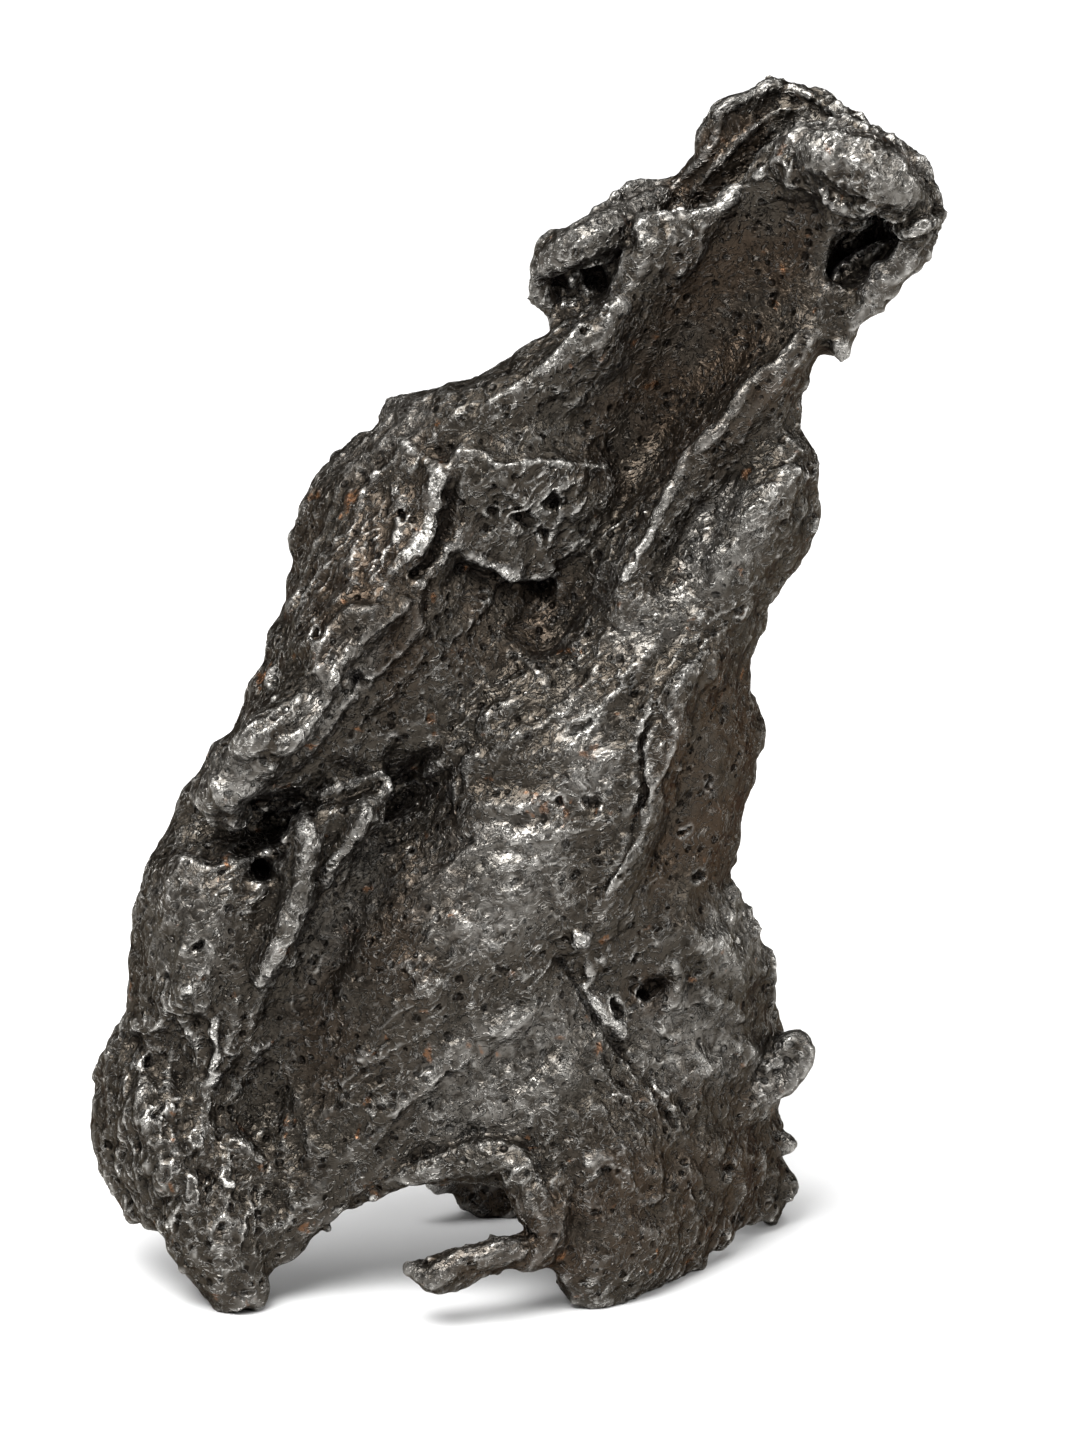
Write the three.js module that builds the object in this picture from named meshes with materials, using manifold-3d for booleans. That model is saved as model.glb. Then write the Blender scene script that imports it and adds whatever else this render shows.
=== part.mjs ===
// An iron meteorite: one torn and twisted fragment of nickel-iron. It stands on its two front feet
// and on the wall that rolls round behind its lower right side.
//
// Everything is laid out in the fragment's own face frame: x to the right, z up the face, and a
// height h that stands out of the face towards the front. The face is then leaned back by LEAN,
// welded into one solid and cut flat where it rests. Millimetres throughout.

import * as THREE from "three";
import { mergeVertices } from "three/addons/utils/BufferGeometryUtils.js";
import Module from "manifold-3d";

const LEAN = THREE.MathUtils.degToRad(18); // how far the face leans back from upright
const FORWARD = 0.1; // how much of that the iron takes back, per mm up the face
const PLATE_THICK = 7.5; // of the main plate in its middle
const CREST_THINNER = 1.5; // how much thinner it is at the top
const CREST = [80, 110]; // the heights between which it thins
const EDGE_THICK = 2.4; // of the main plate at its torn edges
const EDGE_ROUND = 6; // how far in from an edge the plate reaches its full thickness
const SKIN_THICK = 3.2; // of the rear wall and the back skin
const SKIN_EDGE = 1.6; // of their edges
const LEFT_FOLD_SLOPE = 0.55; // how steeply the left side falls back past its fold line
const RIGHT_FOLD_SLOPE = 0.78; // the same on the right, above the roll
const ROLL_CURVE = 0.046; // how the lower right side rolls back, per mm squared past its fold line
const FOLD_SOFTNESS = 4; // how rounded a fold is
const ROLL_TO_FOLD = [12, 34]; // the heights between which the roll turns into the plain fold
const RIGHT_FLAT = [84, 100]; // the heights between which the right fold flattens out
const LEFT_FLAT = [90, 104]; // the same for the left fold
const NOD = { from: 88, to: 116, height: 3 }; // the crest nods forward
const BELLY = { middle: 45, reach: 16, height: 2 }; // the plate swells forward
const SKIN_BEHIND = 5.2; // how far the back skin's middle lies behind the plate's
const FLAP = { middle: 11, reach: 6, height: 5 }; // where the back skin comes forward as a flap
const SKIN_WAVE = { height: 1.2, length: 2 }; // the ripples of the back skin
const PLATE_GRID = { across: 24, up: 42 };
const SKIN_GRID = { across: 18, up: 6 };
const WALL_GRID = { across: 22, up: 7 };
const LIMB_GRID = { around: 7, caps: 2, perPoint: 2 };
const LUMP_GRID = { around: 12, up: 8 };
const SLIVER = 0.03; // vertices closer than this are one vertex

const { clamp, lerp, smoothstep } = THREE.MathUtils;
const fade = (low, high, value) => smoothstep(value, low, high);
const bell = (value) => Math.exp(-value * value);

// A smooth open curve through [x, z] or [x, z, h] points of the face frame.
function curve(points) {
  const places = points.map(([x, z, h = 0]) => new THREE.Vector3(x, -h, z));
  return new THREE.CatmullRomCurve3(places, false, "centripetal");
}

// The value at share (0 to 1) of the way along a list of evenly spaced levels.
function levelAt(levels, share) {
  const knot = clamp(share, 0, 1) * (levels.length - 1);
  const from = Math.min(Math.floor(knot), levels.length - 2);
  return lerp(levels[from], levels[from + 1], knot - from);
}

// x of a bent line, given as [z, x] knots, at height z.
function lineAt(knots, z) {
  const next = knots.findIndex(([level]) => level > z);
  if (next === 0) return knots[0][1];
  if (next < 0) return knots[knots.length - 1][1];
  const [[z0, x0], [z1, x1]] = [knots[next - 1], knots[next]];
  return lerp(x0, x1, (z - z0) / (z1 - z0));
}

// How far (x, z) is from a path, and whether it lies left of the path as the path runs.
function nearest(path, x, z) {
  let best = { distance: Infinity, leftOf: true };
  for (let i = 0; i + 1 < path.length; i++) {
    const [[ax, az], [bx, bz]] = [path[i], path[i + 1]];
    const [dx, dz] = [bx - ax, bz - az];
    const along = clamp(((x - ax) * dx + (z - az) * dz) / (dx * dx + dz * dz), 0, 1);
    const distance = Math.hypot(x - ax - along * dx, z - az - along * dz);
    if (distance < best.distance) best = { distance, leftOf: dx * (z - az) > dz * (x - ax) };
  }
  return best;
}

// The plate folds back to the right of one line and to the left of the other: [z, x] knots.
const RIGHT_FOLD = [[-5, 11], [20, 13], [37, 15], [64, 26], [86, 38], [120, 60]];
const LEFT_FOLD = [[0, -23], [20, -24], [45, -21], [70, -8], [90, 4], [120, 24]];

// Ridges and troughs of the front: height stands out, and width is how far it fades. Where the
// two sides differ, right is the width to the right of the path as it runs.
const FRONT_RELIEF = [
  { name: "upper trough", path: [[31, 106], [25, 95], [18, 82], [11, 70]], height: -4.5, width: 6 },
  { name: "trough foot", path: [[11, 70], [4, 60], [-2, 53]], height: -1, width: 4 },
  { name: "left rim", path: [[19, 106], [17, 99], [12, 94], [4, 90], [-4, 89]], height: 2.5, width: 3 },
  { name: "diagonal bar", path: [[37, 94.5], [30, 89.5], [24, 82], [18.5, 73]], height: 3, width: 2.6 },
  { name: "valley beside the bar", path: [[35, 88], [29, 82], [23, 74]], height: -1.5, width: 2.6 },
  { name: "right shoulder", path: [[34, 82], [30, 75]], height: 2.5, width: 5 },
  { name: "terrace", path: [[1, 82], [7, 83], [12, 80]], height: 3, width: 5 },
  { name: "left shoulder", path: [[-8, 83], [-9, 75], [-11, 68]], height: 1.8, width: 5 },
  { name: "brow", path: [[-4, 69], [-8, 65], [-14, 58.5], [-20, 55]], height: 5, width: 4.5, right: 9 },
  { name: "gap under the brow", path: [[-22, 48], [-14, 48.5], [-3, 51.5]], height: -6, width: 2.8 },
  { name: "left valley", path: [[-3, 47], [-10, 38], [-14, 28], [-16, 20]], height: -3.5, width: 5 },
  { name: "belly", path: [[20, 62], [10, 46], [0, 34]], height: 3, width: 9 },
  { name: "seam", path: [[26, 64], [21.5, 55], [18.5, 44], [15, 38]], height: 2, width: 2.2 },
  { name: "right bulge", path: [[25, 36], [31, 34]], height: 4.5, width: 5 },
  { name: "crevice", path: [[12, 35], [16, 29], [20, 24]], height: -1.8, width: 1.8 },
  { name: "left cheek", path: [[-27, 42], [-26, 34]], height: 2.5, width: 5 },
  { name: "waist of the foot", path: [[-28, 27], [-20, 20], [-17, 12]], height: -2, width: 3.2 },
  { name: "foot lobe", path: [[-28, 17], [-22, 8], [-20, 2]], height: 2.5, width: 5 },
  { name: "lower panel", path: [[14, 18], [20, 8]], height: 1.5, width: 7 },
];

// Shallow hollows and knuckles over the back.
const BACK_RELIEF = [
  { name: "back of the trough", path: [[25, 93], [18, 82], [11, 70]], height: 2.6, width: 6 },
  { name: "upper knuckle", path: [[6, 88], [12, 84]], height: 2.4, width: 4.5 },
  { name: "middle hollow", path: [[-2, 76], [2, 68]], height: -1.8, width: 5 },
  { name: "left hollow", path: [[-8, 68], [-12, 60]], height: -1.6, width: 5 },
  { name: "back of the gap", path: [[-20, 48.5], [-10, 49.5]], height: 3.4, width: 5 },
  { name: "back spine", path: [[24, 62], [8, 54], [-6, 40], [-14, 26]], height: 3, width: 5 },
  { name: "lower hollow", path: [[-24, 36], [-20, 24]], height: -2, width: 5 },
  { name: "inner hollow", path: [[8, 36], [14, 22]], height: -2, width: 6 },
];

function relief(features, x, z) {
  return features.reduce((sum, { path, height, width, right = width }) => {
    const { distance, leftOf } = nearest(path, x, z);
    return sum + height * bell(distance / (leftOf ? width : right));
  }, 0);
}

// Height of the plate's middle surface: it leans forward, nods at the crest, swells at the belly,
// folds back on the left and folds and rolls back on the right.
function middle(x, z) {
  const bend = (past) => (Math.hypot(past, FOLD_SOFTNESS) + past) / 2;
  const pastRight = x - lineAt(RIGHT_FOLD, z);
  const rolled = ROLL_CURVE * Math.max(0, pastRight) ** 2;
  const folded = RIGHT_FOLD_SLOPE * bend(pastRight) * (1 - fade(...RIGHT_FLAT, z));
  const right = lerp(rolled, folded, fade(...ROLL_TO_FOLD, z));
  const left = LEFT_FOLD_SLOPE * bend(lineAt(LEFT_FOLD, z) - x) * (1 - fade(...LEFT_FLAT, z));
  const nod = NOD.height * fade(NOD.from, NOD.to, z);
  const belly = BELLY.height * bell((z - BELLY.middle) / BELLY.reach);
  return FORWARD * z + nod + belly - right - left;
}

// A sheet between four edge curves, which run from left to right and from bottom to top. heights
// gives the [front, back] heights at (x, z), where rim is 0 at the sheet's edges and 1 inside.
function sheet({ left, right, bottom, top, heights, across, up }) {
  const geometry = new THREE.BoxGeometry(1, 1, 1, across, up, 1);
  const place = geometry.getAttribute("position");
  const [width, height] = [bottom.getLength(), left.getLength()];
  for (let i = 0; i < place.count; i++) {
    const [u, v] = [place.getX(i) + 0.5, place.getY(i) + 0.5];
    const at = new THREE.Vector3()
      .addScaledVector(bottom.getPointAt(u), 1 - v)
      .addScaledVector(top.getPointAt(u), v)
      .addScaledVector(left.getPointAt(v), 1 - u)
      .addScaledVector(right.getPointAt(v), u)
      .addScaledVector(bottom.getPointAt(0), -(1 - u) * (1 - v))
      .addScaledVector(bottom.getPointAt(1), -u * (1 - v))
      .addScaledVector(top.getPointAt(0), -(1 - u) * v)
      .addScaledVector(top.getPointAt(1), -u * v);
    const inward = Math.min(Math.min(u, 1 - u) * width, Math.min(v, 1 - v) * height);
    const rim = Math.sqrt(Math.min(1, inward / EDGE_ROUND));
    const [front, back] = heights(at.x, at.z, rim);
    place.setXYZ(i, at.x, place.getZ(i) > 0 ? -front : -back, at.z);
  }
  return new THREE.Mesh(geometry);
}

// A rounded limb through [x, z, h] points, with its radius at evenly spaced places along it.
function limb(points, radii, around = LIMB_GRID.around) {
  const spine = curve(points);
  const along = LIMB_GRID.perPoint * points.length;
  const geometry = new THREE.CapsuleGeometry(1, 2, LIMB_GRID.caps, around, along);
  const place = geometry.getAttribute("position");
  const [forward, sideways, upward] = [new THREE.Vector3(), new THREE.Vector3(), new THREE.Vector3()];
  const faceNormal = new THREE.Vector3(0, -1, 0.01);
  for (let i = 0; i < place.count; i++) {
    const straight = clamp(place.getY(i), -1, 1);
    const share = (straight + 1) / 2;
    const radius = levelAt(radii, share);
    spine.getTangent(share, forward);
    upward.crossVectors(faceNormal, forward).normalize();
    sideways.crossVectors(forward, upward);
    const at = spine.getPoint(share);
    at.addScaledVector(forward, (place.getY(i) - straight) * radius);
    at.addScaledVector(sideways, place.getX(i) * radius);
    at.addScaledVector(upward, place.getZ(i) * radius);
    place.setXYZ(i, at.x, at.y, at.z);
  }
  return new THREE.Mesh(geometry);
}

// An ellipsoid at [x, z, h] with half sizes [across, up, deep], turned in the plane of the face.
function lump([x, z, h], [across, up, deep], turn = 0) {
  const made = new THREE.Mesh(new THREE.SphereGeometry(1, LUMP_GRID.around, LUMP_GRID.up));
  made.position.set(x, -h, z);
  made.rotation.y = THREE.MathUtils.degToRad(-turn);
  made.scale.set(across, deep, up);
  return made;
}

function mainPlate() {
  const left = curve([
    [-31, 8.5], [-33.6, 12.5], [-34.9, 18], [-34.4, 24], [-31.5, 28.5], [-31, 33], [-30.2, 40],
    [-28.6, 45], [-25, 52], [-21.3, 56.5], [-18.6, 62], [-16.2, 68], [-14.4, 74], [-14.2, 79],
    [-10.5, 84.5], [-6.2, 88], [-4.8, 90.8], [1, 91.6], [5.5, 93], [9.5, 95.8], [14.5, 98],
    [18, 102], [19.2, 108],
  ]);
  const right = curve([
    [35.4, 10.2], [34.8, 14], [33.2, 18], [34.4, 21], [34, 26], [33.2, 30], [33, 35], [31, 39],
    [29.3, 42], [30.4, 48], [31.8, 54], [32.2, 58], [30.6, 62], [31.4, 66], [32.6, 70],
    [35.5, 73.5], [37.6, 77.5], [37.2, 81], [37.6, 84.5], [35.4, 87], [36, 92], [38, 95],
    [41, 99.5], [46, 104.5], [50, 108.5],
  ]);
  const bottom = curve([
    [-31, 8.5], [-27.5, 7.6], [-25.4, 4.2], [-23, 0], [-20.6, -1.4], [-18.4, 0.2],
    [-16.2, 4.2], [-12, 7.4], [-6.6, 11], [-1, 13.2], [4, 14.2], [8, 13], [10.6, 9],
    [11.4, 4.5], [13, 0], [16, -1.5], [19.4, -0.2], [24, 2.2], [29, 5.8], [32.5, 8.4], [35.4, 10.2],
  ]);
  const top = curve([
    [19.2, 108], [25, 108.4], [29.5, 111.5], [34, 116], [40, 117.5], [46, 114], [50, 108.5],
  ]);
  const heights = (x, z, rim) => {
    const full = PLATE_THICK - CREST_THINNER * fade(...CREST, z);
    const half = lerp(EDGE_THICK, full, rim) / 2;
    const mid = middle(x, z);
    return [
      mid + half + rim * relief(FRONT_RELIEF, x, z),
      mid - half - rim * relief(BACK_RELIEF, x, z),
    ];
  };
  return sheet({ left, right, bottom, top, heights, ...PLATE_GRID });
}

// The second skin behind the top of the plate: it rises past the front one and ends in a flap.
function backSkin() {
  const left = curve([[11, 97.5], [9.4, 100], [8.6, 103.4]]);
  const bottom = curve([[11, 97.5], [20, 99], [30, 103], [38, 104], [44, 105]]);
  const right = curve([[44, 105], [46.5, 109], [46, 114]]);
  const top = curve([
    [8.6, 103.4], [10, 106.2], [13.4, 107.2], [17, 110.2], [20.4, 112.6], [23, 112], [25.4, 115],
    [26.2, 119.2], [29.4, 120.6], [32, 121.8], [36, 121.6], [41.5, 118.6], [46, 114],
  ]);
  const heights = (x, z, rim) => {
    const flap = FLAP.height * bell((x - FLAP.middle) / FLAP.reach);
    const wave = SKIN_WAVE.height * Math.sin(x / SKIN_WAVE.length);
    const mid = middle(x, z) - SKIN_BEHIND + flap + wave;
    const half = lerp(SKIN_EDGE, SKIN_THICK, rim) / 2;
    return [mid + half, mid - half];
  };
  return sheet({ left, right, bottom, top, heights, ...SKIN_GRID });
}

// The rolled side comes back behind the plate as a thin wall that stands on the ground. Its run is
// seen from above as [x, y], with y the depth behind the face, then its upper edge and how far its
// foot is off the ground, at evenly spaced places along the run.
const WALL_RUN = [[30, 16.5], [33.4, 21], [32, 25.6], [25, 28.2], [15, 27.4], [7, 25], [1.6, 22.8]];
const WALL_TOP = [33, 30, 26, 23, 19.5, 17, 16];
const WALL_LIFT = [4, 1, 0, 0, 0, 0, 1.6];
const WALL_SINK = 0.8; // below the ground, to be cut flat
const WALL_ROUND = 7; // its edges are rounded over a share of 1 in this
const WALL_RIPPLE = { height: 0.6, along: 13, up: 4 };
const WALL_CREST_WAVE = { height: 1.2, along: 17 };

function rearWall() {
  const run = curve(WALL_RUN.map(([x, y]) => [x, 0, -y]));
  const geometry = new THREE.BoxGeometry(1, 1, 1, WALL_GRID.across, WALL_GRID.up, 1);
  const place = geometry.getAttribute("position");
  for (let i = 0; i < place.count; i++) {
    const [u, v] = [place.getX(i) + 0.5, place.getY(i) + 0.5];
    const at = run.getPoint(u);
    const tangent = run.getTangent(u);
    const rim = Math.sqrt(Math.min(1, Math.min(v, 1 - v, 1 - u) * WALL_ROUND));
    const ripple = WALL_RIPPLE.height * Math.sin(WALL_RIPPLE.along * u + WALL_RIPPLE.up * v);
    const offset = place.getZ(i) * lerp(SKIN_EDGE, SKIN_THICK, rim) + ripple;
    const x = at.x + tangent.y * offset;
    const y = at.y - tangent.x * offset;
    const foot = y * Math.tan(LEAN) - WALL_SINK + levelAt(WALL_LIFT, u);
    const crestWave = WALL_CREST_WAVE.height * Math.sin(WALL_CREST_WAVE.along * u);
    const crest = levelAt(WALL_TOP, u) + crestWave;
    place.setXYZ(i, x, y, lerp(foot, crest, v));
  }
  return new THREE.Mesh(geometry);
}

const cap = [
  limb([[33, 113.2, 13.5], [37, 113.6, 16], [41.6, 111.8, 17.6], [45.4, 109, 17], [47.6, 106.8, 15]],
    [2.4, 3.8, 4, 3.2, 1.9], 10),
  limb([[47.6, 107, 15], [45, 103, 15], [41.4, 98.8, 13], [39, 95.6, 11]], [1.9, 1.8, 1.5, 1.2]),
  limb([[38, 97, 11], [39.6, 95.6, 12.5], [39.8, 94.3, 12.5]], [1.4, 1.1, 0.8]),
];

const arch = [
  limb([[-4, 12.6, 2.8], [2, 14.2, 4], [7, 14.2, 5], [10.6, 11.4, 6], [11.4, 7.6, 5], [10.4, 5, 3.5]],
    [1.2, 1.6, 2, 2, 1.8, 1.5]),
  limb([[10.4, 6, 4.5], [6.4, 5.6, 6], [3.2, 4.4, 6.6], [0, 3.4, 6.8], [-2.4, 3.9, 6.6]],
    [1.9, 1.9, 1.7, 1.8, 1.1]),
  limb([[-0.4, 11.2, -21.8], [1.6, 11.6, -22.6], [4.4, 11, -23.4]], [1.1, 1.5, 1.6]),
];

const brow = [
  limb([[-14, 58, 14], [-18.4, 54.6, 13.2], [-21, 51.6, 10.6], [-20.6, 49.6, 8.6]], [2.4, 2.8, 2.6, 1.8]),
];

const drip = [
  limb([[-9.6, 51.4, 8], [-12.8, 47, 9.5], [-14, 42, 9.5], [-15.4, 37.4, 8.5], [-17.5, 33.6, 7.6]],
    [2.4, 2.1, 1.6, 1.6, 2]),
  limb([[-6, 52, 9], [-8.4, 48.4, 9.4], [-10.6, 44.6, 8]], [1.8, 2, 1.4]),
];

const rightEdge = [
  limb([[28.5, 18.6, -9], [32, 21.4, -12], [35.4, 24.8, -13]], [2, 2.8, 2.5]),
  limb([[31, 14.4, -17], [35, 15.4, -18]], [1.6, 1.2]),
  limb([[31.5, 11.4, -19], [35.2, 11.3, -20]], [2, 1.5]),
];

const leftFoot = [
  limb([[-27, 13, -1], [-29.4, 10.6, -3], [-30.4, 9.2, -6]], [2.8, 2.2, 1.7]),
  lump([-20.6, 3, 1.2], [3.4, 4.2, 3.2], 20),
];

const hollows = [
  lump([42.4, 105.6, 14.4], [5.2, 2.5, 5], 48), // the pocket under the cap
  lump([14, 101.2, 15.4], [4.2, 1.8, 4], 28), // the hollow under the flap
  lump([27, 111.2, 15.2], [7, 1.1, 4.6], 40), // the groove between the two skins
  lump([-17.4, 43.6, 7.2], [1.4, 1.6, 3.4]), // the deep hole beside the drip
  lump([21, 31.4, 4.6], [2.2, 1.8, 2.6], 30), // the cavity beside the crevice
];

const iron = [
  mainPlate(), backSkin(), rearWall(), ...cap, ...arch, ...brow, ...drip, ...rightEdge, ...leftFoot,
];

const face = new THREE.Group();
face.rotation.x = -LEAN;
face.add(...iron, ...hollows);
face.updateMatrixWorld(true);

const GROUND_SIZE = 300;
const ground = new THREE.Mesh(new THREE.BoxGeometry(GROUND_SIZE, GROUND_SIZE, GROUND_SIZE));
ground.position.z = -GROUND_SIZE / 2;
ground.updateMatrixWorld(true);

const wasm = await Module();
wasm.setup();

// A placed mesh as a closed solid that can be joined and cut.
function solidOf(mesh) {
  const placed = mesh.geometry.clone().applyMatrix4(mesh.matrixWorld);
  placed.deleteAttribute("normal");
  placed.deleteAttribute("uv");
  const merged = mergeVertices(placed);
  return new wasm.Manifold(
    new wasm.Mesh({
      numProp: 3,
      vertProperties: merged.getAttribute("position").array,
      triVerts: new Uint32Array(merged.index.array),
    }),
  );
}

// A solid's surface, without the slivers that joining and cutting leave.
function surfaceOf(solid) {
  const { vertProperties, triVerts } = solid.getMesh();
  const exact = new THREE.BufferGeometry()
    .setAttribute("position", new THREE.BufferAttribute(vertProperties, 3))
    .setIndex(new THREE.BufferAttribute(triVerts, 1));
  const surface = mergeVertices(exact, SLIVER);
  const corners = surface.index.array;
  const kept = [];
  for (let i = 0; i < corners.length; i += 3) {
    const [a, b, c] = corners.slice(i, i + 3);
    if (a !== b && b !== c && c !== a) kept.push(a, b, c);
  }
  return surface.setIndex(kept);
}

const joined = iron.map(solidOf).reduce((sum, next) => sum.add(next));
const carved = [...hollows, ground].map(solidOf).reduce((left, next) => left.subtract(next), joined);
const skin = surfaceOf(carved);

// The origin is on the ground, under the middle of the fragment.
skin.computeBoundingBox();
const centre = skin.boundingBox.getCenter(new THREE.Vector3());
skin.translate(-centre.x, -centre.y, -skin.boundingBox.min.z);

const nickelIron = new THREE.MeshStandardMaterial({ color: 0x4a443e, roughness: 0.42, metalness: 0.9 });
const meteorite = new THREE.Mesh(skin, nickelIron);
meteorite.name = "meteorite";

const fragment = new THREE.Group();
fragment.add(meteorite);

export default fragment;
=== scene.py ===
"""The finished look of an iron meteorite: one torn and twisted fragment of nickel-iron.

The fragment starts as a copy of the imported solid. It is smoothed, folded, rimmed with rolled metal, beaded,
remeshed and pitted, all in its own face frame in millimetres, and then dressed in one procedural iron.
"""

from __future__ import annotations

import logging
import math
from dataclasses import dataclass
from enum import Enum

import bpy
import numpy as np
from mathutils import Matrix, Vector
from mathutils.bvhtree import BVHTree


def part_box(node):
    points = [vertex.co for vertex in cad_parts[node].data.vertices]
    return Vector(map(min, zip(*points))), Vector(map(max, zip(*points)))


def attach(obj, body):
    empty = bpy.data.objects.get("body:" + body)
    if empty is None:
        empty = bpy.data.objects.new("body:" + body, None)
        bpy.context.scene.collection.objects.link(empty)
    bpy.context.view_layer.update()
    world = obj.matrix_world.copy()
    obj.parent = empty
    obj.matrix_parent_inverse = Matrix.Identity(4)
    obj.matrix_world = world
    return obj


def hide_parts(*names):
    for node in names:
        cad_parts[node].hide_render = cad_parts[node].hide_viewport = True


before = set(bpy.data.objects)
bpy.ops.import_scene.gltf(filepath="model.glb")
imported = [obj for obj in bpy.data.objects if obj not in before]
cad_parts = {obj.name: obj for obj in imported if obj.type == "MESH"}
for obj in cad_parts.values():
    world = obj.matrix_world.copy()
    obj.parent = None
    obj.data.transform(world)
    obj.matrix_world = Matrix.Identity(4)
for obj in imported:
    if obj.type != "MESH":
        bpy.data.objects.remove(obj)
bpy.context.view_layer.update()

LOG = logging.getLogger("meteorite")
NODE = "meteorite"
BODY = "root"
MM = 0.001
SEED = 1947

Points = np.ndarray
Path2 = tuple[tuple[float, float], ...]
Colour = tuple[float, float, float, float]
Socket = bpy.types.NodeSocket


# ---------------------------------------------------------------- frame and noise


class FaceFrame:
    """The fragment's own frame in millimetres: x to the right, y into its face and z up its face.

    It leans back by LEAN, and its origin is measured from the low corner of the solid's box.
    """

    LEAN = math.radians(18)
    FROM_CORNER = (34.97, 7.14, 0.0)

    def __init__(self, low_corner: tuple[float, float, float]) -> None:
        """Sets the frame by the solid's box.

        Args:
            low_corner: the low corner of that box, in metres.
        """
        c, s = math.cos(self.LEAN), math.sin(self.LEAN)
        self.turn = np.array([[1, 0, 0], [0, c, s], [0, -s, c]])
        self.origin = np.array(low_corner) / MM + np.array(self.FROM_CORNER)

    def to_row(self, points: Points) -> Points:
        """Face frame millimetres to row frame metres."""
        return (points @ self.turn.T + self.origin) * MM

    def to_face(self, points: Points) -> Points:
        """Row frame metres to face frame millimetres."""
        return (points / MM - self.origin) @ self.turn


def smoothstep(low: float, high: float, value: np.ndarray) -> np.ndarray:
    """A smooth 0 to 1 as value goes from low to high."""
    t = np.clip((value - low) / (high - low), 0.0, 1.0)
    return t * t * (3 - 2 * t)


class Grain:
    """Seeded gradient noise that is read at many points at once."""

    TABLE = 256

    def __init__(self, seed: int) -> None:
        """Draws the table of corner gradients.

        Args:
            seed: the seed of the draw.
        """
        rng = np.random.default_rng(seed)
        self.order = rng.permutation(self.TABLE)
        turns = rng.normal(size=(self.TABLE, 3))
        self.turns = turns / np.linalg.norm(turns, axis=1, keepdims=True)
        self.chance = rng.random(self.TABLE)

    def corner(self, cell: np.ndarray) -> np.ndarray:
        """Looks the corners of cells up.

        Args:
            cell: the whole-numbered cells.

        Returns:
            Each one's entry in the table.
        """
        wrap = self.TABLE - 1
        x, y, z = (cell[:, i] & wrap for i in range(3))
        return self.order[(self.order[(self.order[x] + y) & wrap] + z) & wrap]

    def at(self, points: Points, size: float | tuple[float, float, float]) -> np.ndarray:
        """Noise from about -1 to 1.

        Args:
            points: where to read it.
            size: the size of its lumps, one number or one for each axis.

        Returns:
            One value for each point.
        """
        place = points / np.asarray(size)
        cell = np.floor(place).astype(np.int64)
        part = place - cell
        fade = part * part * part * (part * (part * 6 - 15) + 10)
        weights = [(1 - fade[:, axis], fade[:, axis]) for axis in range(3)]
        total = np.zeros(len(points))
        for step in np.ndindex(2, 2, 2):
            gradient = self.turns[self.corner(cell + step)]
            dot = sum(gradient[:, axis] * (part[:, axis] - step[axis]) for axis in range(3))
            total += weights[0][step[0]] * weights[1][step[1]] * weights[2][step[2]] * dot
        return 1.6 * total

    def cloud(self, points: Points, size: float, octaves: int) -> np.ndarray:
        """Soft noise with finer noise on it, each octave half the size and half the height."""
        return sum(self.at(points + 17.3 * i, size / 2**i) / 2**i for i in range(octaves))

    def creases(self, points: Points, size: float | tuple[float, float, float], octaves: int) -> np.ndarray:
        """Noise with sharp crests.

        Args:
            points: where to read it.
            size: the distance between the crests, one number or one for each axis.
            octaves: how many layers, each half the size and half the height of the last.

        Returns:
            0 in the hollows, and about 1 along the crests.
        """
        sizes = np.asarray(size)
        parts = [(1 - np.abs(self.at(points + 11.7 * i, sizes / 2**i))) ** 2 / 2**i for i in range(octaves)]
        return sum(parts) / (2 - 2 ** (1 - octaves))

    def pores(self, points: Points, size: float, share: float) -> np.ndarray:
        """Round pits scattered through space.

        Args:
            points: where to read them.
            size: the size of the cells, each of which may hold one pit.
            share: the share of the cells that do.

        Returns:
            0 away from the pits, and 1 at the middle of one.
        """
        place = points / size
        cell = np.floor(place).astype(np.int64)
        best = np.zeros(len(points))
        for offset in np.ndindex(3, 3, 3):
            near = cell + np.array(offset) - 1
            entry = self.corner(near)
            centre = near + 0.5 + 0.35 * self.turns[entry]
            radius = 0.22 + 0.2 * self.chance[(entry * 7 + 3) % self.TABLE]
            gap = np.linalg.norm(place - centre, axis=1) / radius
            holds = self.chance[entry] < share
            best = np.maximum(best, np.where(holds, 1 - smoothstep(0.55, 1.0, gap), 0.0))
        return best


@dataclass(frozen=True)
class Grit:
    """One kind of unevenness: its height and its lumps' size in millimetres, and its place in the noise."""

    height: float
    size: float | tuple[float, ...]
    apart: float = 0.0

    def on(self, grain: Grain, points: Points) -> np.ndarray:
        """Its height at each point."""
        return self.height * grain.at(points + self.apart, self.size)

    def drift(self, grain: Grain, points: Points, axes: int) -> np.ndarray:
        """A shift for each point along so many axes, each read from its own part of the noise."""
        shifts = [grain.at(points + self.apart * axis, self.size) for axis in range(axes)]
        return self.height * np.stack(shifts, axis=1)


# ---------------------------------------------------------------- features of the face


def rounded(path: Path2, steps: int = 6) -> np.ndarray:
    """A smooth run of points through a path's own points.

    Args:
        path: the path's points, as x and z of the face.
        steps: how many points to make for each of its own.

    Returns:
        The run, which ends on the path's last point.
    """
    knots = np.array(path, float)
    if len(knots) < 3:
        return knots
    ends = np.vstack([2 * knots[0] - knots[1], knots, 2 * knots[-1] - knots[-2]])
    made = []
    for a, b, c, d in zip(ends[:-3], ends[1:-2], ends[2:-1], ends[3:]):
        for t in np.arange(steps) / steps:
            bend = (2 * a - 5 * b + 4 * c - d) * t**2
            made.append(0.5 * (2 * b + (c - a) * t + bend + (3 * b - a - 3 * c + d) * t**3))
    return np.array(made + [knots[-1]])


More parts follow.
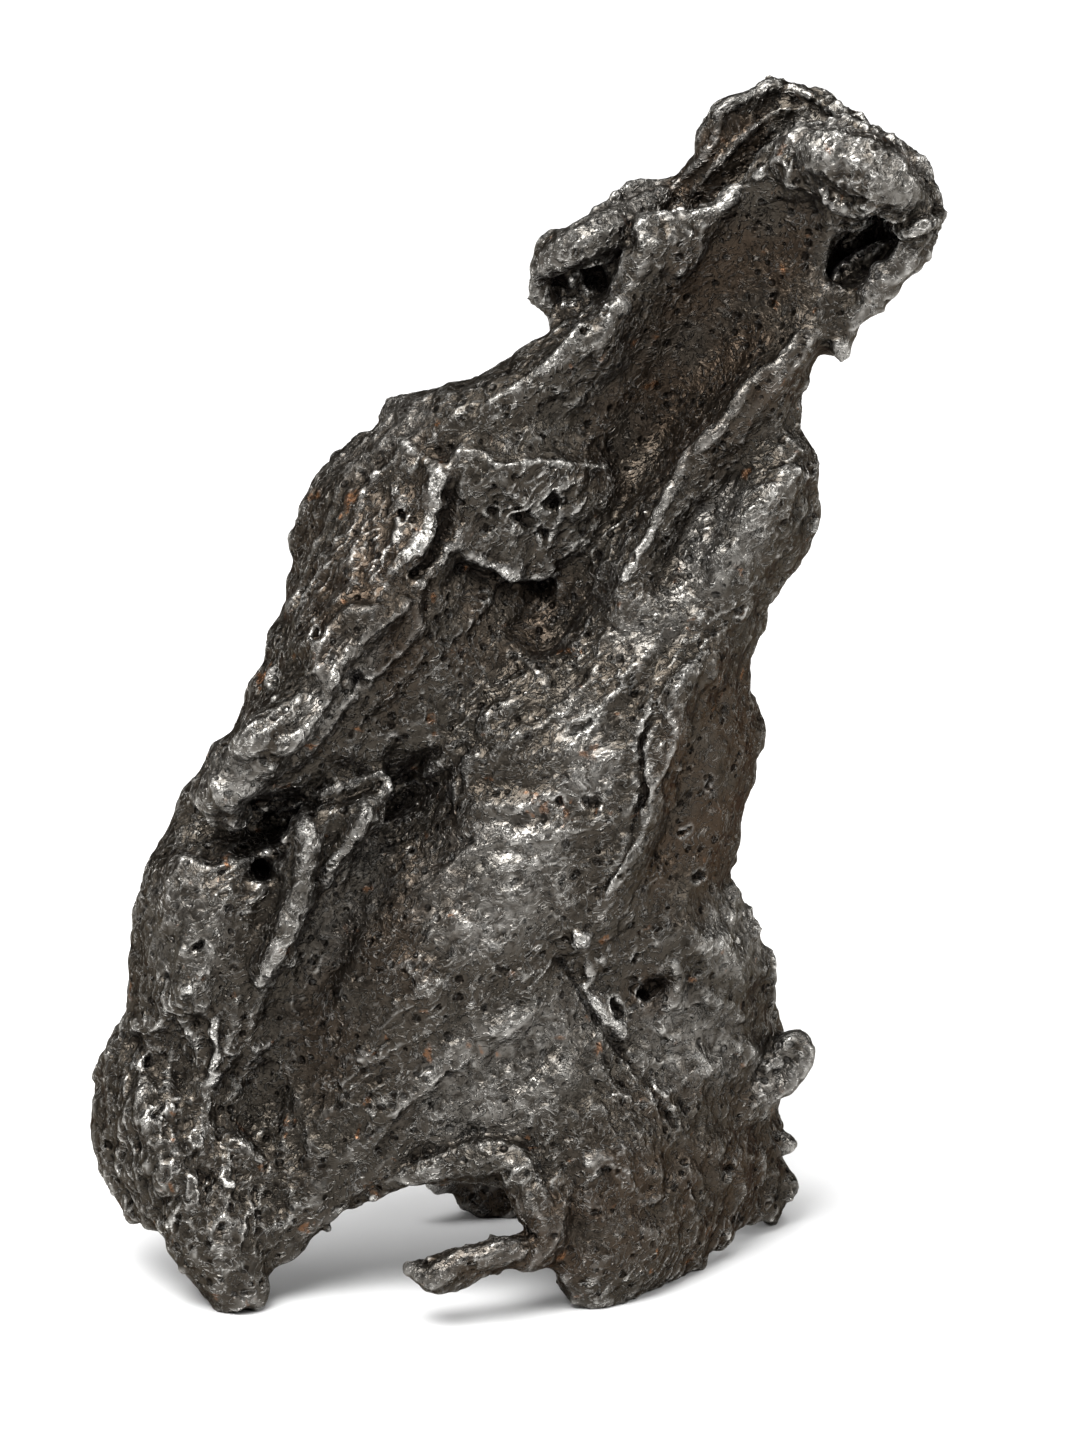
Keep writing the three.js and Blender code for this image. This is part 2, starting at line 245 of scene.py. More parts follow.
def beside(path: np.ndarray, places: np.ndarray) -> tuple[np.ndarray, np.ndarray]:
    """How each place lies beside a path.

    Args:
        path: the path's points.
        places: the places, as x and z.

    Returns:
        The distance, positive to the left of the path as it runs, and how far along it is, from 0 to 1.
    """
    lengths = np.linalg.norm(np.diff(path, axis=0), axis=1)
    starts = np.concatenate([[0.0], np.cumsum(lengths)])
    nearest = np.full(len(places), np.inf)
    side = np.ones(len(places))
    along = np.zeros(len(places))
    for a, b, start, length in zip(path[:-1], path[1:], starts, lengths):
        step = (b - a) / length
        off = places - a
        run = np.clip(off @ step, 0.0, length)
        gap = np.linalg.norm(off - run[:, None] * step, axis=1)
        closer = gap < nearest
        nearest[closer] = gap[closer]
        turn = step[0] * off[:, 1] - step[1] * off[:, 0]
        side[closer] = np.where(turn[closer] >= 0, 1.0, -1.0)
        along[closer] = (start + run[closer]) / starts[-1]
    return nearest * side, along


@dataclass(frozen=True)
class Fold:
    """A ridge or, with a height below 0, a trough along a path of the face.

    left and right are how far it fades to each side of the path as it runs. rim is the radius of the rolled
    metal along its crest, and lift is how far that stands off the surface, in radii: below 0 it is sunk.
    """

    path: Path2
    height: float
    left: float
    right: float
    rim: float = 0.0
    lift: float = -0.25
    sharp: float = 1.6
    taper: float = 0.12

    @property
    def fine(self) -> bool:
        """Whether it is too narrow for the rough mesh."""
        return min(self.left, self.right) < 0.8

    def relief(self, places: np.ndarray) -> np.ndarray:
        """Its shape.

        Args:
            places: the places on the face, as x and z.

        Returns:
            Its height at each.
        """
        run = rounded(self.path)
        reach = 3 * max(self.left, self.right)
        near = np.all((places > run.min(axis=0) - reach) & (places < run.max(axis=0) + reach), axis=1)
        made = np.zeros(len(places))
        if near.any():
            gap, along = beside(run, places[near])
            width = np.where(gap >= 0, self.left, self.right)
            ends = smoothstep(0.0, self.taper, along) * smoothstep(0.0, self.taper, 1 - along)
            made[near] = self.height * np.exp(-((np.abs(gap) / width) ** self.sharp)) * ends
        return made


@dataclass(frozen=True)
class Bar:
    """A round bar of metal laid along a path of the face, lift radii off its surface."""

    path: Path2
    radius: float
    lift: float


@dataclass(frozen=True)
class Pit:
    """A round hollow of the face."""

    x: float
    z: float
    radius: float
    depth: float

    def relief(self, places: np.ndarray) -> np.ndarray:
        """Its height at each place of the face, below 0 inside."""
        gap = np.linalg.norm(places - (self.x, self.z), axis=1) / self.radius
        return -self.depth * (1 - smoothstep(0.3, 1.15, gap))


@dataclass(frozen=True)
class Zone:
    """An oval patch of the face whose skin differs, with half sizes across and up, turned by turn degrees."""

    x: float
    z: float
    across: float
    up: float
    turn: float
    amount: float

    def share(self, places: np.ndarray) -> np.ndarray:
        """How far each place lies within the zone.

        Args:
            places: the places on the face, as x and z.

        Returns:
            1 in the middle of the zone, fading to 0 outside it.
        """
        c, s = math.cos(math.radians(self.turn)), math.sin(math.radians(self.turn))
        off = places - (self.x, self.z)
        u = (off[:, 0] * c + off[:, 1] * s) / self.across
        v = (-off[:, 0] * s + off[:, 1] * c) / self.up
        return 1 - smoothstep(0.55, 1.15, np.hypot(u, v))


FRONT_FOLDS = (
    # the head of the trough, and the scalloped patch at its left
    Fold(((19.5, 106.8), (24.8, 107.4)), 0.6, 1.6, 2.4),
    Fold(((10.6, 98.8), (13.6, 100.8), (16.8, 103.0)), -2.6, 1.2, 1.6),
    Fold(((45.4, 109.4), (42.6, 106.6), (40.0, 103.8), (38.4, 101.6)), -2.4, 1.4, 1.4),
    Fold(((24.3, 108.8), (28.8, 111.3), (32.8, 116.4)), -1.6, 1.0, 1.0),
    Fold(((21.6, 106.6), (22.6, 102.4)), 0.7, 2.4, 2.0),
    Fold(
        ((19.0, 106.2), (20.6, 107.9), (23.0, 108.5), (26.0, 108.5), (28.5, 109.6), (30.2, 111.6)),
        0.5, 0.7, 1.2, 0.34,
    ),
    Fold(((26.0, 108.3), (25.7, 105.0), (24.3, 102.6), (23.0, 101.0)), 0.3, 0.5, 0.9, 0.3),
    # the left rim of the trough, down to the neck
    Fold(
        (
            (18.7, 106.0), (18.6, 104.5), (17.9, 102.0), (16.5, 100.6), (14.7, 98.8), (12.6, 95.2),
            (8.5, 91.8), (4.0, 89.2),
        ),
        0.9, 1.2, 1.8, 0.5,
    ),
    Fold(((18.6, 100.5), (16.8, 97.0), (15.8, 93.0), (12.0, 89.5)), 0.8, 1.2, 1.6, 0.0),
    Fold(((-4.0, 89.0), (4.0, 90.4), (10.0, 93.4), (13.5, 97.0)), -0.8, 0.9, 0.9),
    # the diagonal bar and the groove at its right
    Fold(
        ((36.0, 95.3), (32.0, 92.2), (29.5, 90.0), (26.0, 85.5), (24.0, 82.5), (21.0, 77.5), (18.0, 71.5)),
        0.5, 1.6, 1.0,
    ),
    Fold(((34.5, 88.5), (30.0, 83.0), (26.0, 78.5), (22.0, 72.5)), -0.9, 1.2, 1.2),
    Fold(((37.0, 84.0), (32.0, 80.0), (28.5, 75.0), (27.0, 70.0)), 0.7, 1.6, 1.2),
    # the zigzag ridge over the left shoulder
    Fold(
        ((-4.3, 87.8), (-2.7, 85.3), (0.2, 83.0), (-0.2, 80.5), (-1.4, 76.6), (-3.5, 74.0), (-5.3, 72.2)),
        0.95, 0.6, 3.0, 0.34,
    ),
    Fold(((1.2, 82.5), (0.8, 79.0), (-0.2, 75.5), (-2.5, 72.0)), -1.0, 1.2, 0.6),
    # the brow: its crest, and the gap under its end
    Fold(
        (
            (-2.1, 70.9), (-5.3, 68.0), (-7.5, 66.5), (-9.4, 64.8), (-10.7, 61.7), (-12.0, 59.0),
            (-14.0, 57.0), (-17.0, 56.3), (-20.0, 56.0),
        ),
        1.7, 0.9, 3.4, 0.6,
    ),
    Fold(
        ((-22.4, 53.0), (-20.2, 49.9), (-14.4, 50.4), (-9.0, 52.0), (-5.6, 53.2)),
        1.0, 0.8, 1.6, 0.9,
    ),
    # the drip, and the fork at its right
    Fold(
        (
            (-13.3, 49.8), (-12.9, 46.1), (-13.3, 43.2), (-14.1, 40.3), (-15.3, 37.4), (-16.3, 34.9),
            (-17.8, 32.6),
        ),
        0.7, 0.8, 0.9, 1.5, -0.1,
    ),
    Fold(((-7.4, 50.4), (-7.3, 49.0), (-9.0, 46.6), (-10.5, 44.6), (-11.6, 42.0)), 0.6, 0.8, 1.6, 0.9),
    Fold(((-20.4, 49.4), (-14.4, 50.0), (-9.0, 51.6), (-5.4, 52.9)), -2.2, 0.8, 1.0),
    # the terrace: its rim, and the lip that overhangs at its foot
    Fold(
        (
            (0.4, 82.6), (2.0, 84.3), (4.0, 85.0), (6.0, 83.5), (10.0, 84.0), (13.5, 83.7), (16.0, 83.5),
            (16.5, 81.6), (15.8, 79.0), (14.6, 77.0), (12.0, 74.5),
        ),
        0.9, 0.8, 2.4, 0.35,
    ),
    Fold(((1.0, 75.7), (3.4, 74.7), (6.5, 73.5), (8.5, 72.8), (12.6, 73.1)), 0.9, 2.6, 0.5, 0.36),
    Fold(((1.5, 74.0), (6.5, 71.9), (12.0, 71.8)), -1.1, 0.5, 1.8),
    # the central band: its seam, the beaded ridge at the right of it and the short ridges at the left
    Fold(
        (
            (21.8, 60.9), (20.6, 57.3), (19.9, 54.0), (20.1, 51.0), (19.4, 48.5), (18.8, 46.0), (17.7, 43.7),
            (14.8, 41.2),
        ),
        -0.75, 0.34, 0.34,
    ),
    Fold(
        (
            (26.7, 65.3), (24.8, 64.0), (23.6, 62.1), (22.7, 59.8), (23.4, 57.5), (22.3, 54.0), (21.0, 52.1),
            (21.0, 50.2), (20.2, 47.9), (19.2, 46.0), (17.3, 43.0), (16.6, 41.0),
        ),
        1.0, 1.3, 0.9, 0.5,
    ),
    Fold(((27.5, 63.0), (25.2, 57.0), (24.0, 50.0), (21.5, 43.5)), -1.0, 2.2, 1.0),
    Fold(((2.7, 49.3), (6.4, 50.2), (9.5, 49.3)), 0.2, 1.2, 0.9),
    Fold(((6.0, 47.5), (8.1, 46.6), (10.2, 46.1)), 0.2, 1.2, 0.9),
    Fold(((4.9, 46.0), (6.0, 44.7), (8.7, 44.3), (10.4, 43.9)), 0.2, 1.2, 0.9),
    Fold(((10.5, 32.0), (8.0, 29.5), (6.0, 26.5)), 0.4, 1.0, 1.2),
    Fold(((3.5, 29.0), (7.0, 28.2), (10.0, 28.8)), 0.3, 1.2, 1.2),
    # the hollow under the flap
    Fold(((10.6, 100.6), (13.2, 101.2), (16.6, 102.6)), -2.4, 1.7, 1.5),
    # the valley right of the drip
    Fold(((-6.0, 45.5), (-11.0, 37.5), (-16.0, 28.5), (-19.0, 22.5)), -0.5, 2.4, 1.9),
    Fold(((-2.0, 47.0), (-6.0, 39.0), (-9.5, 31.0), (-13.0, 24.0)), 0.5, 1.4, 1.2),
    # the ridge and the crevice under the ball, with the plates right of them
    Fold(
        ((14.5, 35.4), (14.9, 33.1), (14.2, 31.9), (15.9, 29.3), (18.0, 27.2), (18.8, 25.7)),
        0.7, 1.6, 0.6, 0.4,
    ),
    Fold(
        ((10.9, 35.7), (13.3, 32.5), (16.8, 26.9), (19.7, 23.7), (21.2, 21.9), (23.8, 16.3)),
        -0.6, 0.32, 0.32,
    ),
    Fold(((22.0, 35.6), (23.4, 33.6), (23.5, 31.2), (22.2, 29.4)), 0.6, 0.8, 0.9),
    Fold(((25.8, 31.8), (29.0, 29.6), (31.4, 28.4)), 0.7, 0.8, 1.3),
    Fold(((21.0, 28.0), (25.0, 25.4), (29.0, 22.0)), 0.7, 1.2, 0.8),
    Fold(((26.0, 29.0), (29.5, 26.0), (32.0, 23.0)), 0.7, 1.2, 0.8),
    Fold(((20.0, 20.0), (25.5, 23.6), (31.0, 26.0)), 0.6, 0.8, 1.4),
    Fold(((15.0, 21.0), (18.0, 16.0), (21.0, 12.0)), 0.5, 0.9, 0.9),
    Fold(((14.0, 14.0), (18.0, 16.5), (22.0, 18.0)), 0.5, 0.8, 1.1),
    Fold(((26.0, 17.0), (29.0, 12.0), (30.5, 9.0)), 0.5, 0.9, 0.8),
    Fold(((-2.0, 22.0), (4.0, 27.6), (9.0, 31.0)), 0.6, 1.0, 1.6),
    Fold(((-6.0, 19.5), (0.0, 25.0), (3.0, 28.4)), 0.5, 0.9, 1.3),
    Fold(((-9.0, 24.0), (-4.0, 30.0), (1.0, 35.0), (4.0, 40.0)), 0.5, 1.0, 1.6),
    Fold(((3.0, 18.4), (9.0, 21.4), (14.0, 26.0)), 0.6, 0.9, 1.4),
    Fold(((3.0, 57.5), (7.4, 60.8), (10.6, 64.0)), 0.7, 1.0, 1.5),
    Fold(((2.0, 53.4), (6.0, 55.6), (9.0, 58.8)), 0.5, 0.9, 1.4),
    Fold(((12.0, 65.6), (17.4, 69.0), (22.0, 71.0)), 0.7, 1.2, 2.0),
    Fold(((12.0, 19.5), (13.6, 13.0), (14.2, 6.0)), -0.7, 0.8, 0.8),
    # the left foot: its blade, its crease and its flake
    Fold(((-22.4, 29.6), (-21.9, 26.5), (-22.9, 21.8)), 1.2, 0.7, 0.7, 0.35),
    Fold(((-27.0, 24.0), (-25.5, 19.0), (-24.0, 14.0), (-22.8, 9.5)), -1.0, 0.9, 0.9),
    Fold(((-30.0, 22.0), (-27.5, 16.0), (-25.5, 11.0)), 0.8, 1.3, 1.3),
    Fold(((-21.0, 18.0), (-19.0, 12.0), (-19.5, 6.0)), 0.7, 1.2, 1.2),
    Fold(((-31.0, 27.0), (-28.0, 29.5), (-25.0, 33.0)), 0.6, 0.9, 1.2),
)

BARS = (
    # the flap: its rolled back, its end and its lower lip
    Bar(((10.4, 103.0), (12.4, 104.6), (16.2, 106.6), (19.6, 108.8), (22.4, 110.6)), 2.0, 0.25),
    Bar(((10.4, 103.0), (13.5, 103.6), (16.4, 104.4), (18.8, 105.3)), 0.8, 0.6),
    # the lip of the cap over its hollow, its strap and the tongue inside
    Bar(
        (
            (37.4, 110.6), (38.6, 109.2), (40.8, 108.6), (42.4, 109.1), (43.2, 110.4), (44.2, 111.0),
            (46.4, 110.4), (47.4, 109.8),
        ),
        0.9, 0.4,
    ),
    Bar(((36.4, 114.4), (39.6, 113.6), (43.4, 111.8), (46.2, 109.8)), 3.3, -0.25),
    Bar(((38.6, 101.4), (40.2, 103.3), (42.6, 104.6), (45.0, 105.8), (48.2, 107.4), (50.0, 108.8)), 0.9, 0.6),
    Bar(((49.2, 109.2), (48.4, 111.4), (46.8, 113.6), (43.8, 115.8), (40.6, 117.0)), 0.9, 0.1),
    # the diagonal bar
    Bar(
        (
            (35.5, 96.4), (33.7, 93.7), (32.1, 92.8), (30.2, 90.9), (28.2, 87.7), (25.9, 85.6), (24.3, 83.6),
            (21.4, 78.0), (18.4, 72.4),
        ),
        0.85, 0.1,
    ),
    # the back sheet's edge
    Bar(
        (
            (23.2, 111.2), (24.8, 112.8), (27.0, 115.2), (27.6, 117.8), (28.4, 119.2), (31.4, 120.6),
            (33.4, 121.3), (35.4, 120.8), (37.8, 119.5), (40.6, 117.0),
        ),
        0.65, 0.1,
    ),
    Bar(((25.0, 110.6), (27.4, 113.4), (30.0, 116.2), (33.0, 118.4), (36.2, 119.0)), 0.4, 0.2),
    # the lip of the arch
    Bar(
        (
            (-3.6, 13.0), (1.0, 14.4), (5.0, 15.1), (7.4, 14.6), (8.6, 12.2), (10.0, 9.6), (10.5, 7.4),
            (9.4, 5.0),
        ),
        2.4, -0.42,
    ),
    Bar(((9.4, 6.5), (6.2, 5.7), (2.0, 4.8), (-0.6, 3.2), (-2.6, 3.9)), 1.4, 0.1),
    Bar(((-2.2, 4.0), (-2.8, 4.1), (-3.2, 4.4)), 1.2, 0.1),
    # knobs of the right edge
    Bar(((32.6, 23.0), (34.6, 25.0), (36.2, 26.0), (36.4, 24.0), (35.0, 21.8), (33.8, 20.4)), 1.2, -0.1),
    Bar(((32.4, 15.2), (34.6, 15.8)), 1.2, 0.2),
    Bar(((32.8, 11.4), (34.6, 11.5)), 1.6, 0.2),
    Bar(((30.0, 41.0), (31.6, 39.2), (33.0, 36.2), (33.2, 32.6), (33.4, 28.6)), 0.8, 0.1),
    # the slope over the end of the brow
    Bar(((-12.0, 61.4), (-14.6, 59.2), (-17.6, 57.0), (-20.4, 55.0)), 1.7, -0.35),
    # the ball over the crevice
    Bar(((13.5, 37.1), (14.0, 36.9), (14.4, 36.7)), 0.95, 0.7),
)

FRONT_PITS = (
    Pit(14.0, 58.0, 0.95, 1.1), Pit(11.7, 50.6, 0.8, 0.7), Pit(15.3, 50.2, 1.1, 0.7),
    Pit(-16.7, 62.9, 0.75, 1.6), Pit(-8.0, 62.1, 1.3, 1.4), Pit(20.4, 32.6, 3.2, 0.2),
    Pit(17.5, 29.7, 0.8, 1.2), Pit(19.0, 31.6, 0.5, 0.7), Pit(20.2, 30.9, 0.55, 0.8),
    Pit(19.5, 34.9, 0.5, 0.8), Pit(-2.2, 45.7, 0.45, 0.9), Pit(8.5, 78.0, 1.2, 1.0),
    Pit(11.0, 80.0, 0.9, 1.0), Pit(10.6, 76.4, 0.8, 0.9), Pit(5.6, 79.0, 0.7, 0.7),
    Pit(-28.0, 19.5, 0.8, 1.4), Pit(-29.0, 24.0, 0.6, 0.9), Pit(-12.0, 67.0, 0.6, 0.9),
    Pit(-13.4, 71.0, 0.5, 0.8), Pit(-4.0, 79.0, 0.6, 0.8), Pit(-7.0, 76.0, 0.5, 0.7),
    Pit(12.4, 101.0, 2.1, 1.5), Pit(15.4, 102.3, 1.6, 1.3), Pit(14.2, 97.0, 0.5, 0.8),
    Pit(16.4, 99.2, 0.5, 0.7), Pit(-24.0, 36.0, 0.6, 0.8), Pit(-27.4, 33.0, 0.5, 0.7),
    Pit(24.6, 47.6, 0.5, 0.8), Pit(27.0, 52.0, 0.4, 0.7), Pit(26.0, 43.0, 0.6, 0.8),
    Pit(29.0, 13.4, 0.6, 0.8),
)

BACK_FOLDS = (
    Fold(((26.0, 104.0), (18.0, 92.0), (8.0, 84.0), (-4.0, 78.0)), 1.4, 1.2, 4.0, 0.45),
    Fold(((34.0, 90.0), (28.0, 78.0), (26.0, 66.0)), 1.2, 3.2, 1.1, 0.4),
    Fold(((-10.0, 72.0), (-4.0, 62.0), (4.0, 56.0), (16.0, 54.0)), -1.6, 2.6, 1.4),
    Fold(((24.0, 60.0), (10.0, 50.0), (-4.0, 40.0), (-12.0, 28.0)), 1.3, 1.1, 3.4, 0.45),
    Fold(((-22.0, 52.0), (-18.0, 42.0), (-22.0, 30.0)), 1.1, 2.6, 1.0, 0.4),
    Fold(((6.0, 68.0), (14.0, 66.0), (22.0, 70.0)), 0.9, 1.8, 0.8, 0.35),
    Fold(((-28.0, 26.0), (-20.0, 20.0), (-16.0, 10.0)), -1.0, 1.6, 1.6),
    Fold(((30.0, 46.0), (26.0, 38.0), (30.0, 28.0)), 1.0, 1.0, 2.4, 0.4),
)

MOLTEN = (
    Zone(40.5, 112.5, 9.5, 6.0, -25.0, 1.0),
    Zone(10.0, 8.0, 3.5, 6.0, 20.0, 0.4),
    Zone(34.5, 23.0, 3.5, 4.0, 0.0, 0.6),
    Zone(-20.0, 52.5, 4.0, 3.0, 0.0, 0.5),
)

ROUGHER = (
    Zone(-24.0, 18.0, 12.0, 16.0, 0.0, 0.7),
    Zone(41.0, 112.0, 11.0, 8.0, -25.0, 0.5),
    Zone(-9.0, 72.0, 8.0, 18.0, -20.0, 0.6),
    Zone(8.0, 79.0, 9.0, 6.0, 0.0, 0.5),
    Zone(25.0, 16.0, 12.0, 14.0, 0.0, 0.25),
)

SMOOTHER = (
    Zone(28.0, 97.0, 9.0, 17.0, -38.0, 0.75),
    Zone(17.5, 108.8, 5.5, 2.4, 35.0, 0.6),
    Zone(27.0, 52.0, 5.0, 14.0, -14.0, 0.6),
    Zone(-8.0, 34.0, 4.5, 16.0, -28.0, 0.55),
    Zone(18.0, 45.0, 10.0, 9.0, 0.0, 0.15),
)

BROWN = (
    Zone(27.0, 95.0, 9.0, 19.0, -36.0, 0.9),
    Zone(26.5, 52.0, 6.0, 15.0, -14.0, 0.9),
    Zone(-6.0, 34.0, 6.0, 20.0, -30.0, 0.5),
    Zone(28.0, 114.5, 7.5, 3.2, 38.0, 0.9),
    Zone(8.0, 68.0, 9.0, 6.0, 20.0, 0.5),
    Zone(-7.0, 66.0, 7.0, 10.0, -20.0, 0.5),
    Zone(24.0, 10.0, 12.0, 8.0, 0.0, 0.5),
    Zone(21.0, 31.5, 3.0, 3.0, 0.0, 0.6),
    Zone(8.0, 7.0, 13.0, 6.0, 0.0, 0.8),
    Zone(26.0, 16.0, 11.0, 8.0, 0.0, 0.4),
    Zone(-6.0, 76.0, 10.0, 14.0, -20.0, 0.4),
)

# patches of painted highlight: the face's colour is painted brighter where it is lit brightest
PAINTED_HIGHLIGHTS = (
    Zone(14.5, 56.5, 3.0, 6.0, 20.0, 0.5),
    Zone(14.5, 52.6, 4.0, 2.2, 10.0, 0.5),
    Zone(8.0, 47.0, 6.0, 4.0, 20.0, 0.4),
    Zone(28.0, 76.0, 7.0, 4.0, 60.0, 0.75),
    Zone(21.0, 68.0, 6.0, 3.0, 30.0, 0.6),
    Zone(17.0, 109.2, 6.5, 2.6, 35.0, 0.9),
    Zone(-10.0, 62.0, 3.0, 8.0, -35.0, 0.8),
    Zone(-20.0, 53.0, 3.5, 3.0, 0.0, 0.9),
    Zone(30.0, 37.0, 4.0, 5.5, 0.0, 0.9),
    Zone(37.8, 115.2, 4.6, 3.0, -25.0, 1.0),
    Zone(5.0, 42.0, 9.0, 7.0, 30.0, 0.7),
    Zone(7.0, 24.0, 12.0, 6.5, 30.0, 0.6),
    Zone(-25.0, 38.0, 5.0, 7.0, 0.0, 0.4),
    Zone(34.0, 22.0, 3.0, 4.0, 0.0, 0.6),
    Zone(45.0, 111.5, 3.6, 3.0, -35.0, 0.8),
    Zone(-8.0, 86.5, 8.5, 4.0, 22.0, 0.5),
    Zone(25.0, 26.5, 6.0, 6.0, -30.0, 0.6),
    Zone(-9.0, 40.0, 3.0, 9.0, -28.0, 0.3),
)


@dataclass(frozen=True)
class Flow:
    """The way the metal flowed in a zone, in degrees from the x axis; without a zone it holds everywhere."""

    heading: float
    zone: Zone | None = None


FLOWS = (
    Flow(47.0),
    Flow(8.0, Zone(10.0, 47.0, 9.0, 7.0, 10.0, 1.0)),
    Flow(42.0, Zone(2.0, 28.0, 17.0, 13.0, 35.0, 1.0)),
    Flow(84.0, Zone(-24.0, 20.0, 12.0, 19.0, 0.0, 1.0)),
    Flow(72.0, Zone(27.0, 97.0, 9.0, 18.0, -38.0, 1.0)),
    Flow(-46.0, Zone(25.0, 22.0, 13.0, 15.0, 0.0, 0.7)),
    Flow(38.0, Zone(24.0, 26.0, 13.0, 12.0, 0.0, 0.7)),
    Flow(28.0, Zone(29.0, 77.0, 8.0, 9.0, 0.0, 1.0)),
    Flow(58.0, Zone(-9.0, 68.0, 8.0, 20.0, -25.0, 1.0)),
    Flow(80.0, Zone(27.0, 50.0, 6.0, 15.0, -14.0, 1.0)),
)


def sum_of(zones: tuple[Zone, ...], places: np.ndarray) -> np.ndarray:
    """The zones' amounts at each place, added up."""
    return sum(zone.amount * zone.share(places) for zone in zones)


# ---------------------------------------------------------------- mesh work


def read(items: bpy.types.bpy_prop_collection, name: str, width: int, kind: type) -> np.ndarray:
    """Reads a property of a mesh's parts.

    Args:
        items: the vertices, normals or edges.
        name: the property.
        width: how many numbers each has.
        kind: the kind of number.

    Returns:
        A row of numbers for each item.
    """
    flat = np.empty(len(items) * width, kind)
    items.foreach_get(name, flat)
    return flat.reshape(-1, width)


def points_of(mesh: bpy.types.Mesh) -> Points:
    """A mesh's vertices, as an array."""
    return read(mesh.vertices, "co", 3, np.float32).astype(float)


def move_points(mesh: bpy.types.Mesh, points: Points) -> None:
    """Writes new places for a mesh's vertices."""
    mesh.vertices.foreach_set("co", points.astype(np.float32).ravel())
    mesh.update()


def normals_of(mesh: bpy.types.Mesh) -> Points:
    """A mesh's vertex normals, as an array."""
    return read(mesh.vertex_normals, "vector", 3, np.float32).astype(float)


def edges_of(mesh: bpy.types.Mesh) -> np.ndarray:
    """A mesh's edges, as pairs of vertices."""
    return read(mesh.edges, "vertices", 2, np.int32)


def relaxed(points: Points, edges: np.ndarray, rounds: int, amount: float = 0.5) -> Points:
    """Points moved towards the middle of their neighbours.

    Args:
        points: the places, or any values at the vertices.
        edges: the mesh's edges.
        rounds: how many times.
        amount: the share of the way in each round.

    Returns:
        The moved points.
    """
    count = len(points)
    degree = np.bincount(edges.ravel(), minlength=count)
    values = points.copy()
    for _ in range(rounds):
        for axis in range(values.shape[1]):
            column = values[:, axis]
            total = np.bincount(edges[:, 0], column[edges[:, 1]], count)
            total += np.bincount(edges[:, 1], column[edges[:, 0]], count)
            values[:, axis] = column + amount * (total / degree - column)
    return values


def remeshed(piece: bpy.types.Object, voxel_mm: float) -> None:
    """Remeshes a piece in place to even quads, which also joins whatever overlaps in it.

    Args:
        piece: the piece.
        voxel_mm: the size of the quads.
    """
    modifier = piece.modifiers.new("remesh", "REMESH")
    modifier.mode = "VOXEL"
    modifier.voxel_size = voxel_mm * MM
    graph = bpy.context.evaluated_depsgraph_get()
    made = bpy.data.meshes.new_from_object(piece.evaluated_get(graph), depsgraph=graph)
    piece.modifiers.clear()
    old = piece.data
    piece.data = made
    bpy.data.meshes.remove(old)


@dataclass(frozen=True)
class Roll:
    """A roll of metal with rounded ends along a run of points, with a radius at each."""

    centres: np.ndarray
    radii: np.ndarray
    sides: int = 8

    def shell(self) -> tuple[np.ndarray, list[tuple[int, ...]]]:
        """Its closed surface.

        Returns:
            The vertices and the faces.
        """
        ahead = np.gradient(self.centres, axis=0)
        ahead /= np.linalg.norm(ahead, axis=1, keepdims=True)
        across = np.cross(ahead, (0.08, 1.0, 0.05))
        across /= np.linalg.norm(across, axis=1, keepdims=True)
        upward = np.cross(ahead, across)
        turns = 2 * math.pi * np.arange(self.sides) / self.sides
        c, s = np.cos(turns)[None, :, None], np.sin(turns)[None, :, None]
        spokes = c * across[:, None] + s * upward[:, None]
        rings = self.centres[:, None] + self.radii[:, None, None] * spokes
        caps = np.array([
            self.centres[0] - ahead[0] * self.radii[0],
            self.centres[-1] + ahead[-1] * self.radii[-1],
        ])
        count, sides = len(self.centres), self.sides
        first, last = count * sides, count * sides + 1
        faces: list[tuple[int, ...]] = []
        for ring in range(count - 1):
            for side in range(sides):
                a, b = ring * sides + side, ring * sides + (side + 1) % sides
                faces.append((a, b, b + sides, a + sides))
        for side in range(sides):
            after = (side + 1) % sides
            faces.append((first, after, side))
            faces.append((last, (count - 1) * sides + side, (count - 1) * sides + after))
        return np.vstack([rings.reshape(-1, 3), caps]), faces


class Facing(Enum):
    """Which side of the plate a fold or a bar lies on."""

    FRONT = 1
    BACK = -1


